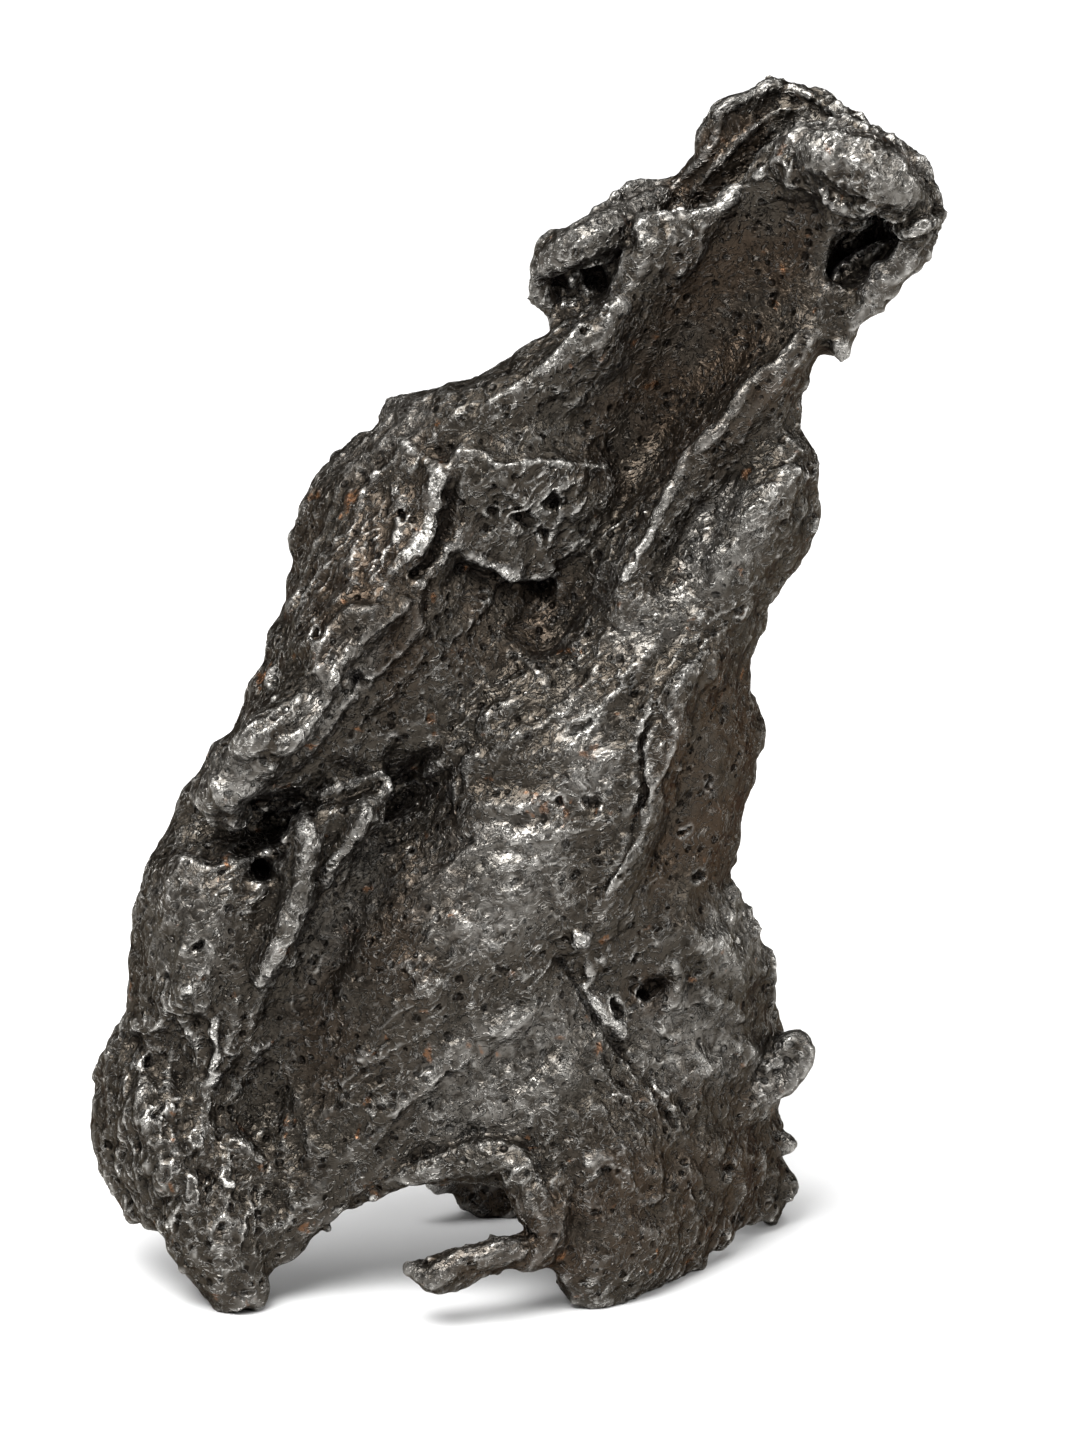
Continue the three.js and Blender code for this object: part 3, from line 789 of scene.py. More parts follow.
class Fragment:
    """The whole meteorite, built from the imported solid. Its lengths are in millimetres.

    The voxels are those of the two meshes, and FINE_WALL is the wall that the narrow folds count on. A bar is
    parted at any STEP of the surface, and a length of fewer points than FEWEST is left out.
    """

    ROUGH_VOXEL = 0.62
    FINE_VOXEL = 0.27
    THICKEST_WALL = 12.0
    FINE_WALL = 5.0
    WALL_SHARE = 0.32
    STEP = 2.5
    FEWEST = 4
    SHAKE = 0.1

    FOLD_DRIFT = Grit(0.5, 3.6, 40)
    FOLD_RAGS = Grit(0.28, 1.4, 50)
    FOLD_UNEVEN = Grit(0.6, 3.0, 300)
    FOLD_LEAST = 0.9

    SKIN_DRIFT = Grit(1.4, 6.0, 9)
    WAVES = Grit(0.3, (7.0, 9.0, 5.0))
    LUMPS = Grit(0.2, 4.2, 70)
    STREAKS = Grit(0.75, (12.0, 3.3))
    KNUCKLES = Grit(0.7, 3.0, 120)
    SMALL_KNUCKLES = Grit(0.12, 1.8, 130)
    MOLTEN_LUMPS = Grit(1.7, 4.6, 90)
    MOLTEN_SINK = 0.35
    MOLTEN_CALM = 0.6
    STREAK_FLOOR = 0.12

    BEADS = 170
    BEAD_CROWD = 14
    BEAD_RADIUS = 0.3
    BEAD_GROWTH = 0.5
    BEAD_RARITY = 2.2
    BEAD_SINK = 0.4
    BEAD_RINGS = (0.8, 1.0, 0.75)

    PIT_DRIFT = Grit(0.85, 1.5, 13)
    PORE_DRIFT = Grit(0.5, 1.9, 5)
    PATCHES = Grit(1.0, 8.0, 200)
    WRINKLES = Grit(0.25, (3.0, 1.0))
    NUBS = Grit(0.1, 1.2)
    LARGE_NUBS = Grit(0.12, 2.3, 31)
    PORES = Grit(-0.3, 1.4)
    SPECKS = Grit(-0.34, 1.4, 60)
    PORE_SHARE = 0.16
    SPECK_SHARE = 0.34

    FULL_CREST = 0.3
    FULL_SWELL = 1.3

    def __init__(self) -> None:
        """Sets up the frame, the noise and the random draws."""
        self.face = FaceFrame(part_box(NODE)[0])
        self.grain = Grain(SEED)
        self.rng = np.random.default_rng(SEED)
        self.piece = self.copy_of_solid()

    def copy_of_solid(self) -> bpy.types.Object:
        """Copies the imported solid's surface.

        Returns:
            A new object with that surface and no material.
        """
        piece = bpy.data.objects.new("meteorite_iron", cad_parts[NODE].data.copy())
        bpy.context.scene.collection.objects.link(piece)
        piece.data.materials.clear()
        return piece

    def places(self) -> Points:
        """The piece's vertices in the face frame."""
        return self.face.to_face(points_of(self.piece.data))

    def place(self, points: Points) -> None:
        """Moves the piece's vertices to points of the face frame."""
        move_points(self.piece.data, self.face.to_row(points))

    def normals(self) -> Points:
        """The piece's vertex normals in the face frame."""
        return normals_of(self.piece.data) @ self.face.turn

    def soften(self, rounds: int, amount: float = 0.5) -> None:
        """Smooths the piece without shrinking it: each round in is followed by one out.

        Args:
            rounds: how many times.
            amount: the share of the way in each round.
        """
        points, edges = self.places(), edges_of(self.piece.data)
        for _ in range(rounds):
            points = relaxed(relaxed(points, edges, 1, amount), edges, 1, -1.04 * amount)
        self.place(points)

    def walls(self) -> np.ndarray:
        """Measures the metal.

        Returns:
            Its thickness behind each vertex, up to THICKEST_WALL.
        """
        tree = BVHTree.FromObject(self.piece, bpy.context.evaluated_depsgraph_get())
        starts, inward = points_of(self.piece.data), -normals_of(self.piece.data)
        thickness = np.full(len(starts), self.THICKEST_WALL)
        for index, (start, ahead) in enumerate(zip(starts + 0.05 * MM * inward, inward)):
            gap = tree.ray_cast(Vector(start), Vector(ahead), self.THICKEST_WALL * MM)[3]
            if gap is not None:
                thickness[index] = gap / MM
        return thickness

    def shift(self, amount: np.ndarray, walls: np.ndarray) -> None:
        """Moves the surface along its normals, but never inwards by more than a third of the wall.

        Args:
            amount: how far each vertex moves outwards, in millimetres.
            walls: the thickness of metal behind each vertex.
        """
        limit = self.WALL_SHARE * walls
        sunk = np.where(amount < 0, -limit * np.tanh(-amount / np.maximum(limit, 0.05)), amount)
        ahead = relaxed(self.normals(), edges_of(self.piece.data), 4)
        self.place(self.places() + sunk[:, None] * ahead)

    def fold(self, walls: np.ndarray, fine: bool) -> None:
        """Raises the folds of the front and the back, along the surface's own normals.

        Args:
            walls: the thickness of metal behind each vertex.
            fine: whether it is the narrow folds' turn, or the wide ones'.
        """
        points, normals = self.places(), self.normals()
        drift, rags = (grit.drift(self.grain, points, 2) for grit in (self.FOLD_DRIFT, self.FOLD_RAGS))
        flat = points[:, [0, 2]] + drift + rags
        uneven = self.FOLD_LEAST + self.FOLD_UNEVEN.on(self.grain, points)
        lifted = np.zeros(len(points))
        for facing, folds in ((Facing.FRONT, FRONT_FOLDS), (Facing.BACK, BACK_FOLDS)):
            toward = smoothstep(0.02, 0.3, -normals[:, 1] * facing.value)
            lifted += toward * sum((fold.relief(flat) for fold in folds if fold.fine == fine), np.zeros(1))
        self.shift(lifted * uneven, walls)

    def crumple(self, walls: np.ndarray) -> None:
        """Gives the whole surface its uneven, once-molten waves.

        Args:
            walls: the thickness of metal behind each vertex.
        """
        points, normals = self.places(), self.normals()
        flat = points[:, [0, 2]]
        rough = 1 + sum_of(ROUGHER, flat) - sum_of(SMOOTHER, flat)
        warped = points + self.SKIN_DRIFT.drift(self.grain, points, 3)
        waves = self.WAVES.height * (self.grain.creases(warped, self.WAVES.size, 2) - 0.55)
        lumps = self.LUMPS.height * self.grain.cloud(warped + self.LUMPS.apart, self.LUMPS.size, 2)
        streaks = self.STREAKS.height * (self.streaks(warped, *self.STREAKS.size) - 0.5)
        torn = 1 - smoothstep(0.25, 0.6, np.abs(normals[:, 1]))
        knuckles = torn * (self.KNUCKLES.on(self.grain, warped) + self.SMALL_KNUCKLES.on(self.grain, warped))
        melt = np.clip(sum_of(MOLTEN, flat), 0, 1)
        knuckles *= 1 - self.MOLTEN_CALM * melt
        molten = melt * (np.abs(self.MOLTEN_LUMPS.on(self.grain, warped)) - self.MOLTEN_SINK)
        self.shift(rough * (waves + lumps + streaks) + knuckles + molten, walls)

    def streaks(self, points: Points, along: float, across: float) -> np.ndarray:
        """Long creases that follow the flow of the metal.

        Args:
            points: where to read them.
            along: their length, in millimetres.
            across: the distance between them.

        Returns:
            0 in the hollows between them, and about 1 along their crests.
        """
        flat = points[:, [0, 2]]
        total, weight = np.zeros(len(points)), np.full(len(points), 1e-6)
        for flow in FLOWS:
            c, s = math.cos(math.radians(flow.heading)), math.sin(math.radians(flow.heading))
            ahead = flat @ np.array([c, s])
            aside = flat @ np.array([-s, c])
            laid = np.stack([ahead / along, aside / across, points[:, 1] / across], axis=1)
            share = flow.zone.share(flat) if flow.zone else self.STREAK_FLOOR
            total += share * self.grain.creases(laid + flow.heading, 1.0, 1)
            weight += share
        return total / weight

    def surface_under(self, tree: BVHTree, x: float, z: float, facing: Facing) -> np.ndarray | None:
        """The first point met at x, z of the face by looking at it.

        Args:
            tree: the surface, in the row frame.
            x: the place across the face.
            z: the place up the face.
            facing: the side it is looked at from.

        Returns:
            The point in the face frame, or None where nothing is met.
        """
        far = 200.0 * facing.value
        start = self.face.to_row(np.array([[x, -far, z]]))[0]
        ahead = self.face.turn @ np.array([0.0, facing.value, 0.0])
        hit, _, _, _ = tree.ray_cast(Vector(start), Vector(ahead))
        if hit is None:
            return None
        return self.face.to_face(np.array([hit]))[0]

    def laid(self, tree: BVHTree, bar: Bar, facing: Facing) -> list[Roll]:
        """A bar laid on the surface, and parted wherever the surface steps away from it.

        Args:
            tree: the surface, in the row frame.
            bar: the bar.
            facing: the side it is laid on.

        Returns:
            A roll for each length of it that lies on unbroken surface.
        """
        run = rounded(bar.path, 8)
        run = run + self.SHAKE * self.rng.normal(size=run.shape)
        met = [self.surface_under(tree, x, z, facing) for x, z in run]
        solid = np.array([point for point in met if point is not None]).reshape(-1, 3)
        steps = np.linalg.norm(np.diff(solid, axis=0), axis=1)
        lengths = np.split(solid, np.flatnonzero(steps > self.STEP) + 1)
        return [self.rolled(length, bar, facing) for length in lengths if len(length) >= self.FEWEST]

    def rolled(self, solid: Points, bar: Bar, facing: Facing) -> Roll:
        """A roll of a bar's radius along a run of points on the surface.

        Args:
            solid: the points, in the face frame.
            bar: the bar.
            facing: the side it is laid on.

        Returns:
            The roll, uneven in radius and tapered at its ends.
        """
        solid[1:-1] = (solid[:-2] + solid[1:-1] + solid[2:]) / 3
        wave = 1 + 0.36 * self.grain.at(solid, 2.0 + 2 * bar.radius)
        taper = np.sin(np.linspace(0.15, math.pi - 0.15, len(solid))) ** 0.4
        radii = bar.radius * np.clip(wave, 0.5, 1.7) * taper
        solid[:, 1] -= facing.value * bar.lift * radii
        return Roll(solid, radii)

    def rims(self) -> list[Roll]:
        """Lays the bars, and the rolled metal along the crests of the folds that have a rim.

        Returns:
            Their rolls.
        """
        tree = BVHTree.FromObject(self.piece, bpy.context.evaluated_depsgraph_get())
        rolls: list[Roll] = []
        for facing, folds in ((Facing.FRONT, FRONT_FOLDS), (Facing.BACK, BACK_FOLDS)):
            for fold in folds:
                if fold.rim:
                    rolls += self.laid(tree, Bar(fold.path, fold.rim, fold.lift), facing)
        for bar in BARS:
            rolls += self.laid(tree, bar, Facing.FRONT)
        return rolls

    def beads(self) -> list[Roll]:
        """Sets small drops of metal, frozen along the sharpest edges.

        Returns:
            A short roll for each drop.
        """
        points, normals = self.places(), self.normals()
        edges = edges_of(self.piece.data)
        proud = np.einsum("ij,ij->i", points - relaxed(points, edges, 8), normals)
        proud *= 1 - 0.7 * smoothstep(0.7, 0.95, np.abs(normals[:, 1]))
        sharpest = np.argsort(-proud)[: len(points) // self.BEAD_CROWD]
        chosen = self.rng.choice(sharpest, size=self.BEADS, replace=False)
        rolls = []
        for index in chosen:
            radius = self.BEAD_RADIUS + self.BEAD_GROWTH * self.rng.random() ** self.BEAD_RARITY
            axis = self.rng.normal(size=3) * radius * 0.4
            middle = points[index] - normals[index] * radius * self.BEAD_SINK
            centres = np.array([middle - axis, middle, middle + axis])
            rolls.append(Roll(centres, radius * np.array(self.BEAD_RINGS), 7))
        return rolls

    def weld(self, rolls: list[Roll]) -> None:
        """Adds rolls of metal to the piece and joins them to it by remeshing.

        Args:
            rolls: the rolls.
        """
        base = self.piece.data
        count = len(base.vertices)
        shells = [roll.shell() for roll in rolls]
        vertices = [self.face.to_row(v) for v, _ in shells]
        starts = count + np.concatenate([[0], np.cumsum([len(v) for v in vertices])])
        faces = [
            tuple(int(corner + start) for corner in face)
            for (_, made), start in zip(shells, starts)
            for face in made
        ]
        old_faces = [tuple(p.vertices) for p in base.polygons]
        mesh = bpy.data.meshes.new(base.name)
        mesh.from_pydata(np.vstack([points_of(base), *vertices]).tolist(), [], old_faces + faces)
        mesh.update()
        self.piece.data = mesh
        bpy.data.meshes.remove(base)
        remeshed(self.piece, self.FINE_VOXEL)

    def pit(self) -> None:
        """Sinks the pits that have a place of their own, then pores and wrinkles everywhere."""
        points, normals = self.places(), self.normals()
        flat = points[:, [0, 2]]
        wander = self.PIT_DRIFT.drift(self.grain, points, 2)
        front = smoothstep(0.05, 0.35, -normals[:, 1])
        sunk = front * sum(pit.relief(flat + wander) for pit in FRONT_PITS)
        rough = np.clip(1 + 0.9 * sum_of(ROUGHER, flat) - 1.1 * sum_of(SMOOTHER, flat), 0.12, 2.0)
        warped = points + self.PORE_DRIFT.drift(self.grain, points, 3)
        patchy = smoothstep(-0.25, 0.35, self.PATCHES.on(self.grain, points))
        wrinkles = self.WRINKLES.height * (self.streaks(warped, *self.WRINKLES.size) - 0.5)
        wrinkles *= 0.35 + 0.65 * patchy
        nubs = self.NUBS.on(self.grain, warped) + self.LARGE_NUBS.on(self.grain, warped)
        pores = self.PORES.height * self.grain.pores(warped, self.PORES.size, self.PORE_SHARE)
        specks = self.grain.pores(warped + self.SPECKS.apart, self.SPECKS.size, self.SPECK_SHARE)
        specks *= self.SPECKS.height * np.clip(rough - 1.05, 0, 1)
        self.place(points + (sunk + rough * (wrinkles + nubs) + pores + specks)[:, None] * normals)

    def stand(self) -> None:
        """Presses whatever reaches below the ground flat against it."""
        points = points_of(self.piece.data)
        points[:, 2] = np.maximum(points[:, 2], 0.0)
        move_points(self.piece.data, points)

    def mark(self) -> None:
        """Records, at each vertex, what the iron's finish follows: crests, swells, brown patina and painted
        highlights.
        """
        mesh = self.piece.data
        points, normals, edges = self.places(), self.normals(), edges_of(self.piece.data)
        near = relaxed(points, edges, 5)
        wide = relaxed(near, edges, 40, 0.8)
        crest = np.einsum("ij,ij->i", points - near, normals)
        swell = np.einsum("ij,ij->i", near - wide, normals)
        flat = points[:, [0, 2]]
        front = smoothstep(-0.2, 0.3, -normals[:, 1])
        brown = np.clip(front * sum_of(BROWN, flat), 0, 1)
        # painted highlights: how far the colour is painted brighter, in the listed zones
        painted_highlight = np.clip(front * sum_of(PAINTED_HIGHLIGHTS, flat), 0, 1)
        for name, values in (
            ("crest", np.clip(0.5 + crest / self.FULL_CREST, 0, 1)),
            ("swell", np.clip(0.5 + swell / self.FULL_SWELL, 0, 1)),
            ("brown", brown),
            ("painted_highlight", painted_highlight),
        ):
            layer = mesh.attributes.new(name, "FLOAT", "POINT")
            layer.data.foreach_set("value", values.astype(np.float32))

    def build(self) -> bpy.types.Object:
        """Builds the fragment's surface, from the large forms to the fine ones.

        Returns:
            The finished piece, not yet dressed.
        """
        remeshed(self.piece, self.ROUGH_VOXEL)
        self.soften(5)
        walls = self.walls()
        LOG.info("rough shape: %d vertices", len(walls))
        self.fold(walls, fine=False)
        self.crumple(walls)
        self.soften(3)
        LOG.info("folded and crumpled")
        self.weld(self.rims() + self.beads())
        self.soften(4)
        LOG.info("rimmed and beaded")
        self.fold(np.full(len(self.piece.data.vertices), self.FINE_WALL), fine=True)
        self.pit()
        self.soften(1, 0.25)
        LOG.info("pitted")
        self.mark()
        self.stand()
        self.piece.data.shade_smooth()
        LOG.info("fragment: %d vertices", len(self.piece.data.vertices))
        return self.piece


# ---------------------------------------------------------------- finishes


class NodeSheet:
    """A node tree with short ways to add and join nodes."""

    SHARE, FIRST, SECOND, MIXED = 0, 6, 7, 2

    def __init__(self, tree: bpy.types.NodeTree) -> None:
        """Takes the tree to write on."""
        self.tree = tree

    def add(self, kind: str, **settings: object) -> bpy.types.Node:
        """Adds a node and sets its properties.

        Args:
            kind: the kind of node.
            settings: its properties.

        Returns:
            The node.
        """
        node = self.tree.nodes.new(kind)
        for name, value in settings.items():
            setattr(node, name, value)
        return node

    def plug(self, socket: Socket, value: object) -> None:
        """Links a node's input to another node's output, or sets it to a constant.

        Args:
            socket: the input.
            value: the output or the constant.
        """
        if isinstance(value, Socket):
            self.tree.links.new(value, socket)
        else:
            socket.default_value = value

    def feed(self, node: bpy.types.Node, **values: object) -> bpy.types.Node:
        """Plugs a node's inputs by name.

        Args:
            node: the node.
            values: what goes into each input; an underscore stands for a space.

        Returns:
            The node.
        """
        for name, value in values.items():
            self.plug(node.inputs[name.replace("_", " ")], value)
        return node

    def worked(self, kind: str, operation: str, *values: object) -> Socket:
        """A Math or Vector Math node.

        Args:
            kind: the kind of node.
            operation: what it does.
            values: what goes into its inputs.

        Returns:
            Its result.
        """
        node = self.add(kind, operation=operation)
        for socket, value in zip(node.inputs, values):
            self.plug(socket, value)
        return node.outputs[0]

    def maths(self, operation: str, *values: float | Socket) -> Socket:
        """A Math node's result."""
        return self.worked("ShaderNodeMath", operation, *values)

    def vector(self, operation: str, *values: object) -> Socket:
        """A Vector Math node's result."""
        return self.worked("ShaderNodeVectorMath", operation, *values)

    def plus(self, first: float | Socket, second: float | Socket) -> Socket:
        """The sum of two values."""
        return self.maths("ADD", first, second)

    def minus(self, first: float | Socket, second: float | Socket) -> Socket:
        """The first value less the second."""
        return self.maths("SUBTRACT", first, second)

    def times(self, first: float | Socket, second: float | Socket) -> Socket:
        """The product of two values."""
        return self.maths("MULTIPLY", first, second)

    def larger(self, first: float | Socket, second: float | Socket) -> Socket:
        """The larger of two values."""
        return self.maths("MAXIMUM", first, second)

    def ranged(
        self, value: Socket, low: float, high: float, to_low: float = 0.0, to_high: float = 1.0
    ) -> Socket:
        """A value taken smoothly from one range to another.

        Args:
            value: the value.
            low: the start of its range.
            high: the end of its range, which may be below low.
            to_low: what low becomes.
            to_high: what high becomes.

        Returns:
            The new value, which stays within to_low and to_high.
        """
        node = self.add("ShaderNodeMapRange", interpolation_type="SMOOTHSTEP")
        self.feed(node, Value=value, From_Min=low, From_Max=high, To_Min=to_low, To_Max=to_high)
        return node.outputs["Result"]

    def noise(self, vector: Socket, scale: float | Socket, detail: float, distortion: float = 0.0) -> Socket:
        """A Noise node.

        Args:
            vector: where it is read.
            scale: its scale, in lumps to the metre.
            detail: how many finer layers it has.
            distortion: how far it is bent.

        Returns:
            Its value.
        """
        node = self.add("ShaderNodeTexNoise")
        self.feed(node, Vector=vector, Scale=scale, Detail=detail, Distortion=distortion)
        return node.outputs[0]

    def blend(self, share: Socket, first: object, second: object) -> Socket:
        """A mix of two colours.

        Args:
            share: how much of the second colour it has.
            first: the first colour.
            second: the second colour.

        Returns:
            The mixed colour.
        """
        node = self.add("ShaderNodeMix", data_type="RGBA")
        for index, value in ((self.SHARE, share), (self.FIRST, first), (self.SECOND, second)):
            self.plug(node.inputs[index], value)
        return node.outputs[self.MIXED]


@dataclass(frozen=True)
class Group:
    """A shader group being written: its tree, a sheet to write on it, and its input and output nodes."""

    tree: bpy.types.NodeTree
    sheet: NodeSheet
    given: bpy.types.Node
    result: bpy.types.Node


def new_group(name: str, inputs: tuple[str, ...], output: str) -> Group:
    """Starts a shader group with a Vector input, number inputs and one number output.

    Args:
        name: the group's name.
        inputs: the number inputs' names.
        output: the output's name.

    Returns:
        The group.
    """
    tree = bpy.data.node_groups.new(name, "ShaderNodeTree")
    tree.interface.new_socket("Vector", in_out="INPUT", socket_type="NodeSocketVector")
    for label in inputs:
        tree.interface.new_socket(label, in_out="INPUT", socket_type="NodeSocketFloat")
    tree.interface.new_socket(output, in_out="OUTPUT", socket_type="NodeSocketFloat")
    sheet = NodeSheet(tree)
    return Group(tree, sheet, sheet.add("NodeGroupInput"), sheet.add("NodeGroupOutput"))


@dataclass(frozen=True)
class Hairlines:
    """Fine worm-like wrinkles: short thin raised lines that follow a flow.

    Each course is a turn in radians and a stretch along it. Scales are in lumps to the metre.
    """

    courses: tuple[tuple[float, float], ...] = ((0.95, 2.4), (0.1, 2.2), (-0.9, 1.5))
    bend: float = 0.0022
    bend_scale: float = 420.0
    width: float = 0.05
    patch_scale: float = 260.0
    break_scale: float = 1500.0

    def group(self) -> bpy.types.NodeTree:
        """Builds the shader group.

        Returns:
            The group, whose Line is 1 along the middle of a line.
        """
        made = new_group("hairlines", ("Scale",), "Line")
        sheet, where = made.sheet, made.given.outputs["Vector"]
        warp = sheet.feed(sheet.add("ShaderNodeTexNoise"), Vector=where, Scale=self.bend_scale, Detail=1.0)
        centred = sheet.vector("SUBTRACT", warp.outputs["Color"], (0.5, 0.5, 0.5))
        bent = sheet.vector("ADD", where, sheet.vector("MULTIPLY", centred, (self.bend,) * 3))
        lines = []
        for turn, stretch in self.courses:
            mapping = sheet.add("ShaderNodeMapping", vector_type="TEXTURE")
            sheet.feed(mapping, Vector=bent, Rotation=(0.0, -turn, 0.0), Scale=(stretch, 1.0, 1.0))
            wave = sheet.noise(mapping.outputs[0], made.given.outputs["Scale"], 2.0, 0.5)
            off = sheet.maths("ABSOLUTE", sheet.minus(wave, 0.5))
            lines.append(sheet.ranged(off, 0.0, self.width, 1.0, 0.0))
        patches = sheet.noise(where, self.patch_scale, 1.0)
        first, second = sheet.ranged(patches, 0.44, 0.52), sheet.ranged(patches, 0.54, 0.62)
        flow = sheet.larger(sheet.times(lines[0], first), sheet.times(lines[1], sheet.minus(1.0, first)))
        flow = sheet.larger(flow, sheet.times(lines[2], second))
        breaks = sheet.ranged(sheet.noise(bent, self.break_scale, 1.0), 0.40, 0.56)
        sheet.plug(made.result.inputs["Line"], sheet.times(flow, breaks))
        return made.tree


def pin_holes_group() -> bpy.types.NodeTree:
    """Builds the shader group of pin-holes: small round spots in some of the cells only.

    Returns:
        The group, whose Hole is 1 at the middle of a spot.
    """
    made = new_group("pin_holes", ("Scale", "Radius", "Share"), "Hole")
    sheet, given = made.sheet, made.given.outputs
    cells = sheet.add("ShaderNodeTexVoronoi", feature="F1")
    sheet.feed(cells, Vector=given["Vector"], Scale=given["Scale"])
    chance = sheet.feed(sheet.add("ShaderNodeSeparateColor"), Color=cells.outputs["Color"])
    holds = sheet.maths("LESS_THAN", chance.outputs[0], given["Share"])
    radius = sheet.times(given["Radius"], sheet.plus(0.5, chance.outputs[1]))
    share = sheet.maths("DIVIDE", cells.outputs["Distance"], radius)
    sheet.plug(made.result.inputs["Hole"], sheet.times(holds, sheet.ranged(share, 0.4, 1.0, 1.0, 0.0)))
    return made.tree


@dataclass(frozen=True)
class Signs:
    """What the iron's finish is made from: the mesh's own marks and the fine patterns."""

    crest: Socket
    swell: Socket
    brown: Socket
    painted_highlight: Socket
    line: Socket
    hole: Socket
    cloud: Socket
    grit: Socket
    mottle: Socket


@dataclass(frozen=True)
class NickelIron:
    """Cleaned meteoritic iron: dark grey-brown, with painted shade near black in its creases and pits, and
    bright metal along the crests with painted glints and highlights.

    Scales are in lumps to the metre, and relief is the height of the finest wrinkles in metres.
    """

    # the near black of the painted shade in creases, hollows and pin-holes
    recess_shade: Colour = (0.007, 0.0055, 0.0045, 1.0)
    plain: Colour = (0.040, 0.0350, 0.0285, 1.0)
    # the bare metal that the wear, the painted glints and the painted highlights go to
    bright: Colour = (0.52, 0.505, 0.475, 1.0)
    patina: Colour = (0.040, 0.0290, 0.0205, 1.0)
    rust: Colour = (0.15, 0.070, 0.032, 1.0)
    grazing: Colour = (0.36, 0.34, 0.31, 1.0)
    line_scale: float = 1350.0
    hole_scale: float = 880.0
    hole_radius: float = 0.36
    hole_share: float = 0.45
    cloud_scale: float = 150.0
    grit_scale: float = 2600.0
    mottle_scale: float = 700.0
    rust_scale: float = 330.0
    metallic: float = 0.95
    relief: float = 0.0002

    def signs(self, sheet: NodeSheet, where: Socket) -> Signs:
        """Adds the nodes that the finish is made from.

        Args:
            sheet: the material's sheet.
            where: the place on the piece.

        Returns:
            Their outputs.
        """
        marks = [
            sheet.add("ShaderNodeAttribute", attribute_name=name).outputs["Fac"]
            for name in ("crest", "swell", "brown", "painted_highlight")
        ]
        lines = sheet.add("ShaderNodeGroup", node_tree=Hairlines().group())
        sheet.feed(lines, Vector=where, Scale=self.line_scale)
        holes = sheet.add("ShaderNodeGroup", node_tree=pin_holes_group())
        sheet.feed(holes, Vector=where, Scale=self.hole_scale, Radius=self.hole_radius, Share=self.hole_share)
        cloud = sheet.noise(where, self.cloud_scale, 4.0)
        grit = sheet.noise(where, self.grit_scale, 3.0, 0.4)
        mottle = sheet.noise(where, self.mottle_scale, 3.0, 0.8)
        return Signs(*marks, lines.outputs["Line"], holes.outputs["Hole"], cloud, grit, mottle)

    def wear_and_sheen(self, sheet: NodeSheet, on: Signs) -> Socket:
        """How far the colour goes to bright metal: brighter along the crests and swells, with painted glints
        along the hairlines and specks and painted highlights in the highlight zones.

        Args:
            sheet: the material's sheet.
            on: what the finish is made from.

        Returns:
            0 where it is not, up to 1 along the crests.
        """
        # painted glints: bright colour on the hairlines and fine specks, stronger on the swells
        painted_glint = sheet.times(sheet.ranged(on.mottle, 0.55, 0.72), sheet.ranged(on.grit, 0.5, 0.62))
        painted_glint = sheet.times(sheet.larger(on.line, painted_glint), sheet.ranged(on.swell, 0.2, 0.8, 0.1, 1.0))
        wear_and_sheen = sheet.plus(sheet.ranged(on.crest, 0.54, 1.0, 0.0, 0.8), sheet.times(painted_glint, 0.6))
        wear_and_sheen = sheet.plus(wear_and_sheen, sheet.times(sheet.ranged(on.swell, 0.55, 1.0), 0.35))
        # painted highlights: the colour is brighter in the highlight zones
        wear_and_sheen = sheet.plus(wear_and_sheen, sheet.times(on.painted_highlight, sheet.ranged(on.mottle, 0.35, 0.65, 0.04, 0.30)))
        wear_and_sheen = sheet.times(wear_and_sheen, sheet.ranged(on.cloud, 0.3, 0.65, 0.5, 1.05))
        wear_and_sheen = sheet.times(wear_and_sheen, sheet.minus(1.0, sheet.times(on.brown, 0.5)))
        return sheet.maths("MINIMUM", wear_and_sheen, 1.0)

    def tint(self, sheet: NodeSheet, where: Socket, on: Signs, wear_and_sheen: Socket) -> Socket:
        """The colour, from the painted shade of the hollows to the bright crests.

        Args:
            sheet: the material's sheet.
            where: the place on the piece.
            on: what the finish is made from.
            wear_and_sheen: how far it goes to bright metal, by wear and by painted glints and highlights.

        Returns:
            The colour.
        """
        # painted shade: near black in the creases, hollows and pin-holes, with a random mottled darkening
        sunk = sheet.larger(sheet.ranged(on.crest, 0.46, 0.1), sheet.ranged(on.swell, 0.42, 0.05))
        sunk = sheet.larger(sunk, sheet.ranged(on.mottle, 0.46, 0.3, 0.0, 0.5))
        sunk = sheet.larger(sunk, on.hole)
        browned = sheet.times(sheet.plus(on.brown, 0.25), sheet.ranged(on.cloud, 0.35, 0.62, 0.3, 1.0))
        tint = sheet.blend(sheet.maths("MINIMUM", browned, 1.0), self.plain, self.patina)
        tint = sheet.blend(sheet.times(sunk, 0.92), tint, self.recess_shade)
        tint = sheet.blend(wear_and_sheen, tint, self.bright)
        spots = sheet.ranged(sheet.noise(where, self.rust_scale, 2.0), 0.64, 0.72)
        spots = sheet.times(spots, sheet.ranged(on.mottle, 0.5, 0.62))
        return sheet.blend(sheet.times(spots, 0.7), tint, self.rust)

    def wrinkled(self, sheet: NodeSheet, on: Signs) -> Socket:
        """The finest relief.

        Args:
            sheet: the material's sheet.
            on: what the finish is made from.

        Returns:
            The bumped normal.
        """
        height = sheet.plus(sheet.times(on.line, 1.5), sheet.times(on.grit, 0.3))
        height = sheet.plus(height, sheet.times(on.mottle, 1.4))
        height = sheet.minus(height, sheet.times(on.hole, 1.5))
        bump = sheet.add("ShaderNodeBump")
        return sheet.feed(bump, Strength=1.0, Distance=self.relief, Height=height).outputs[0]

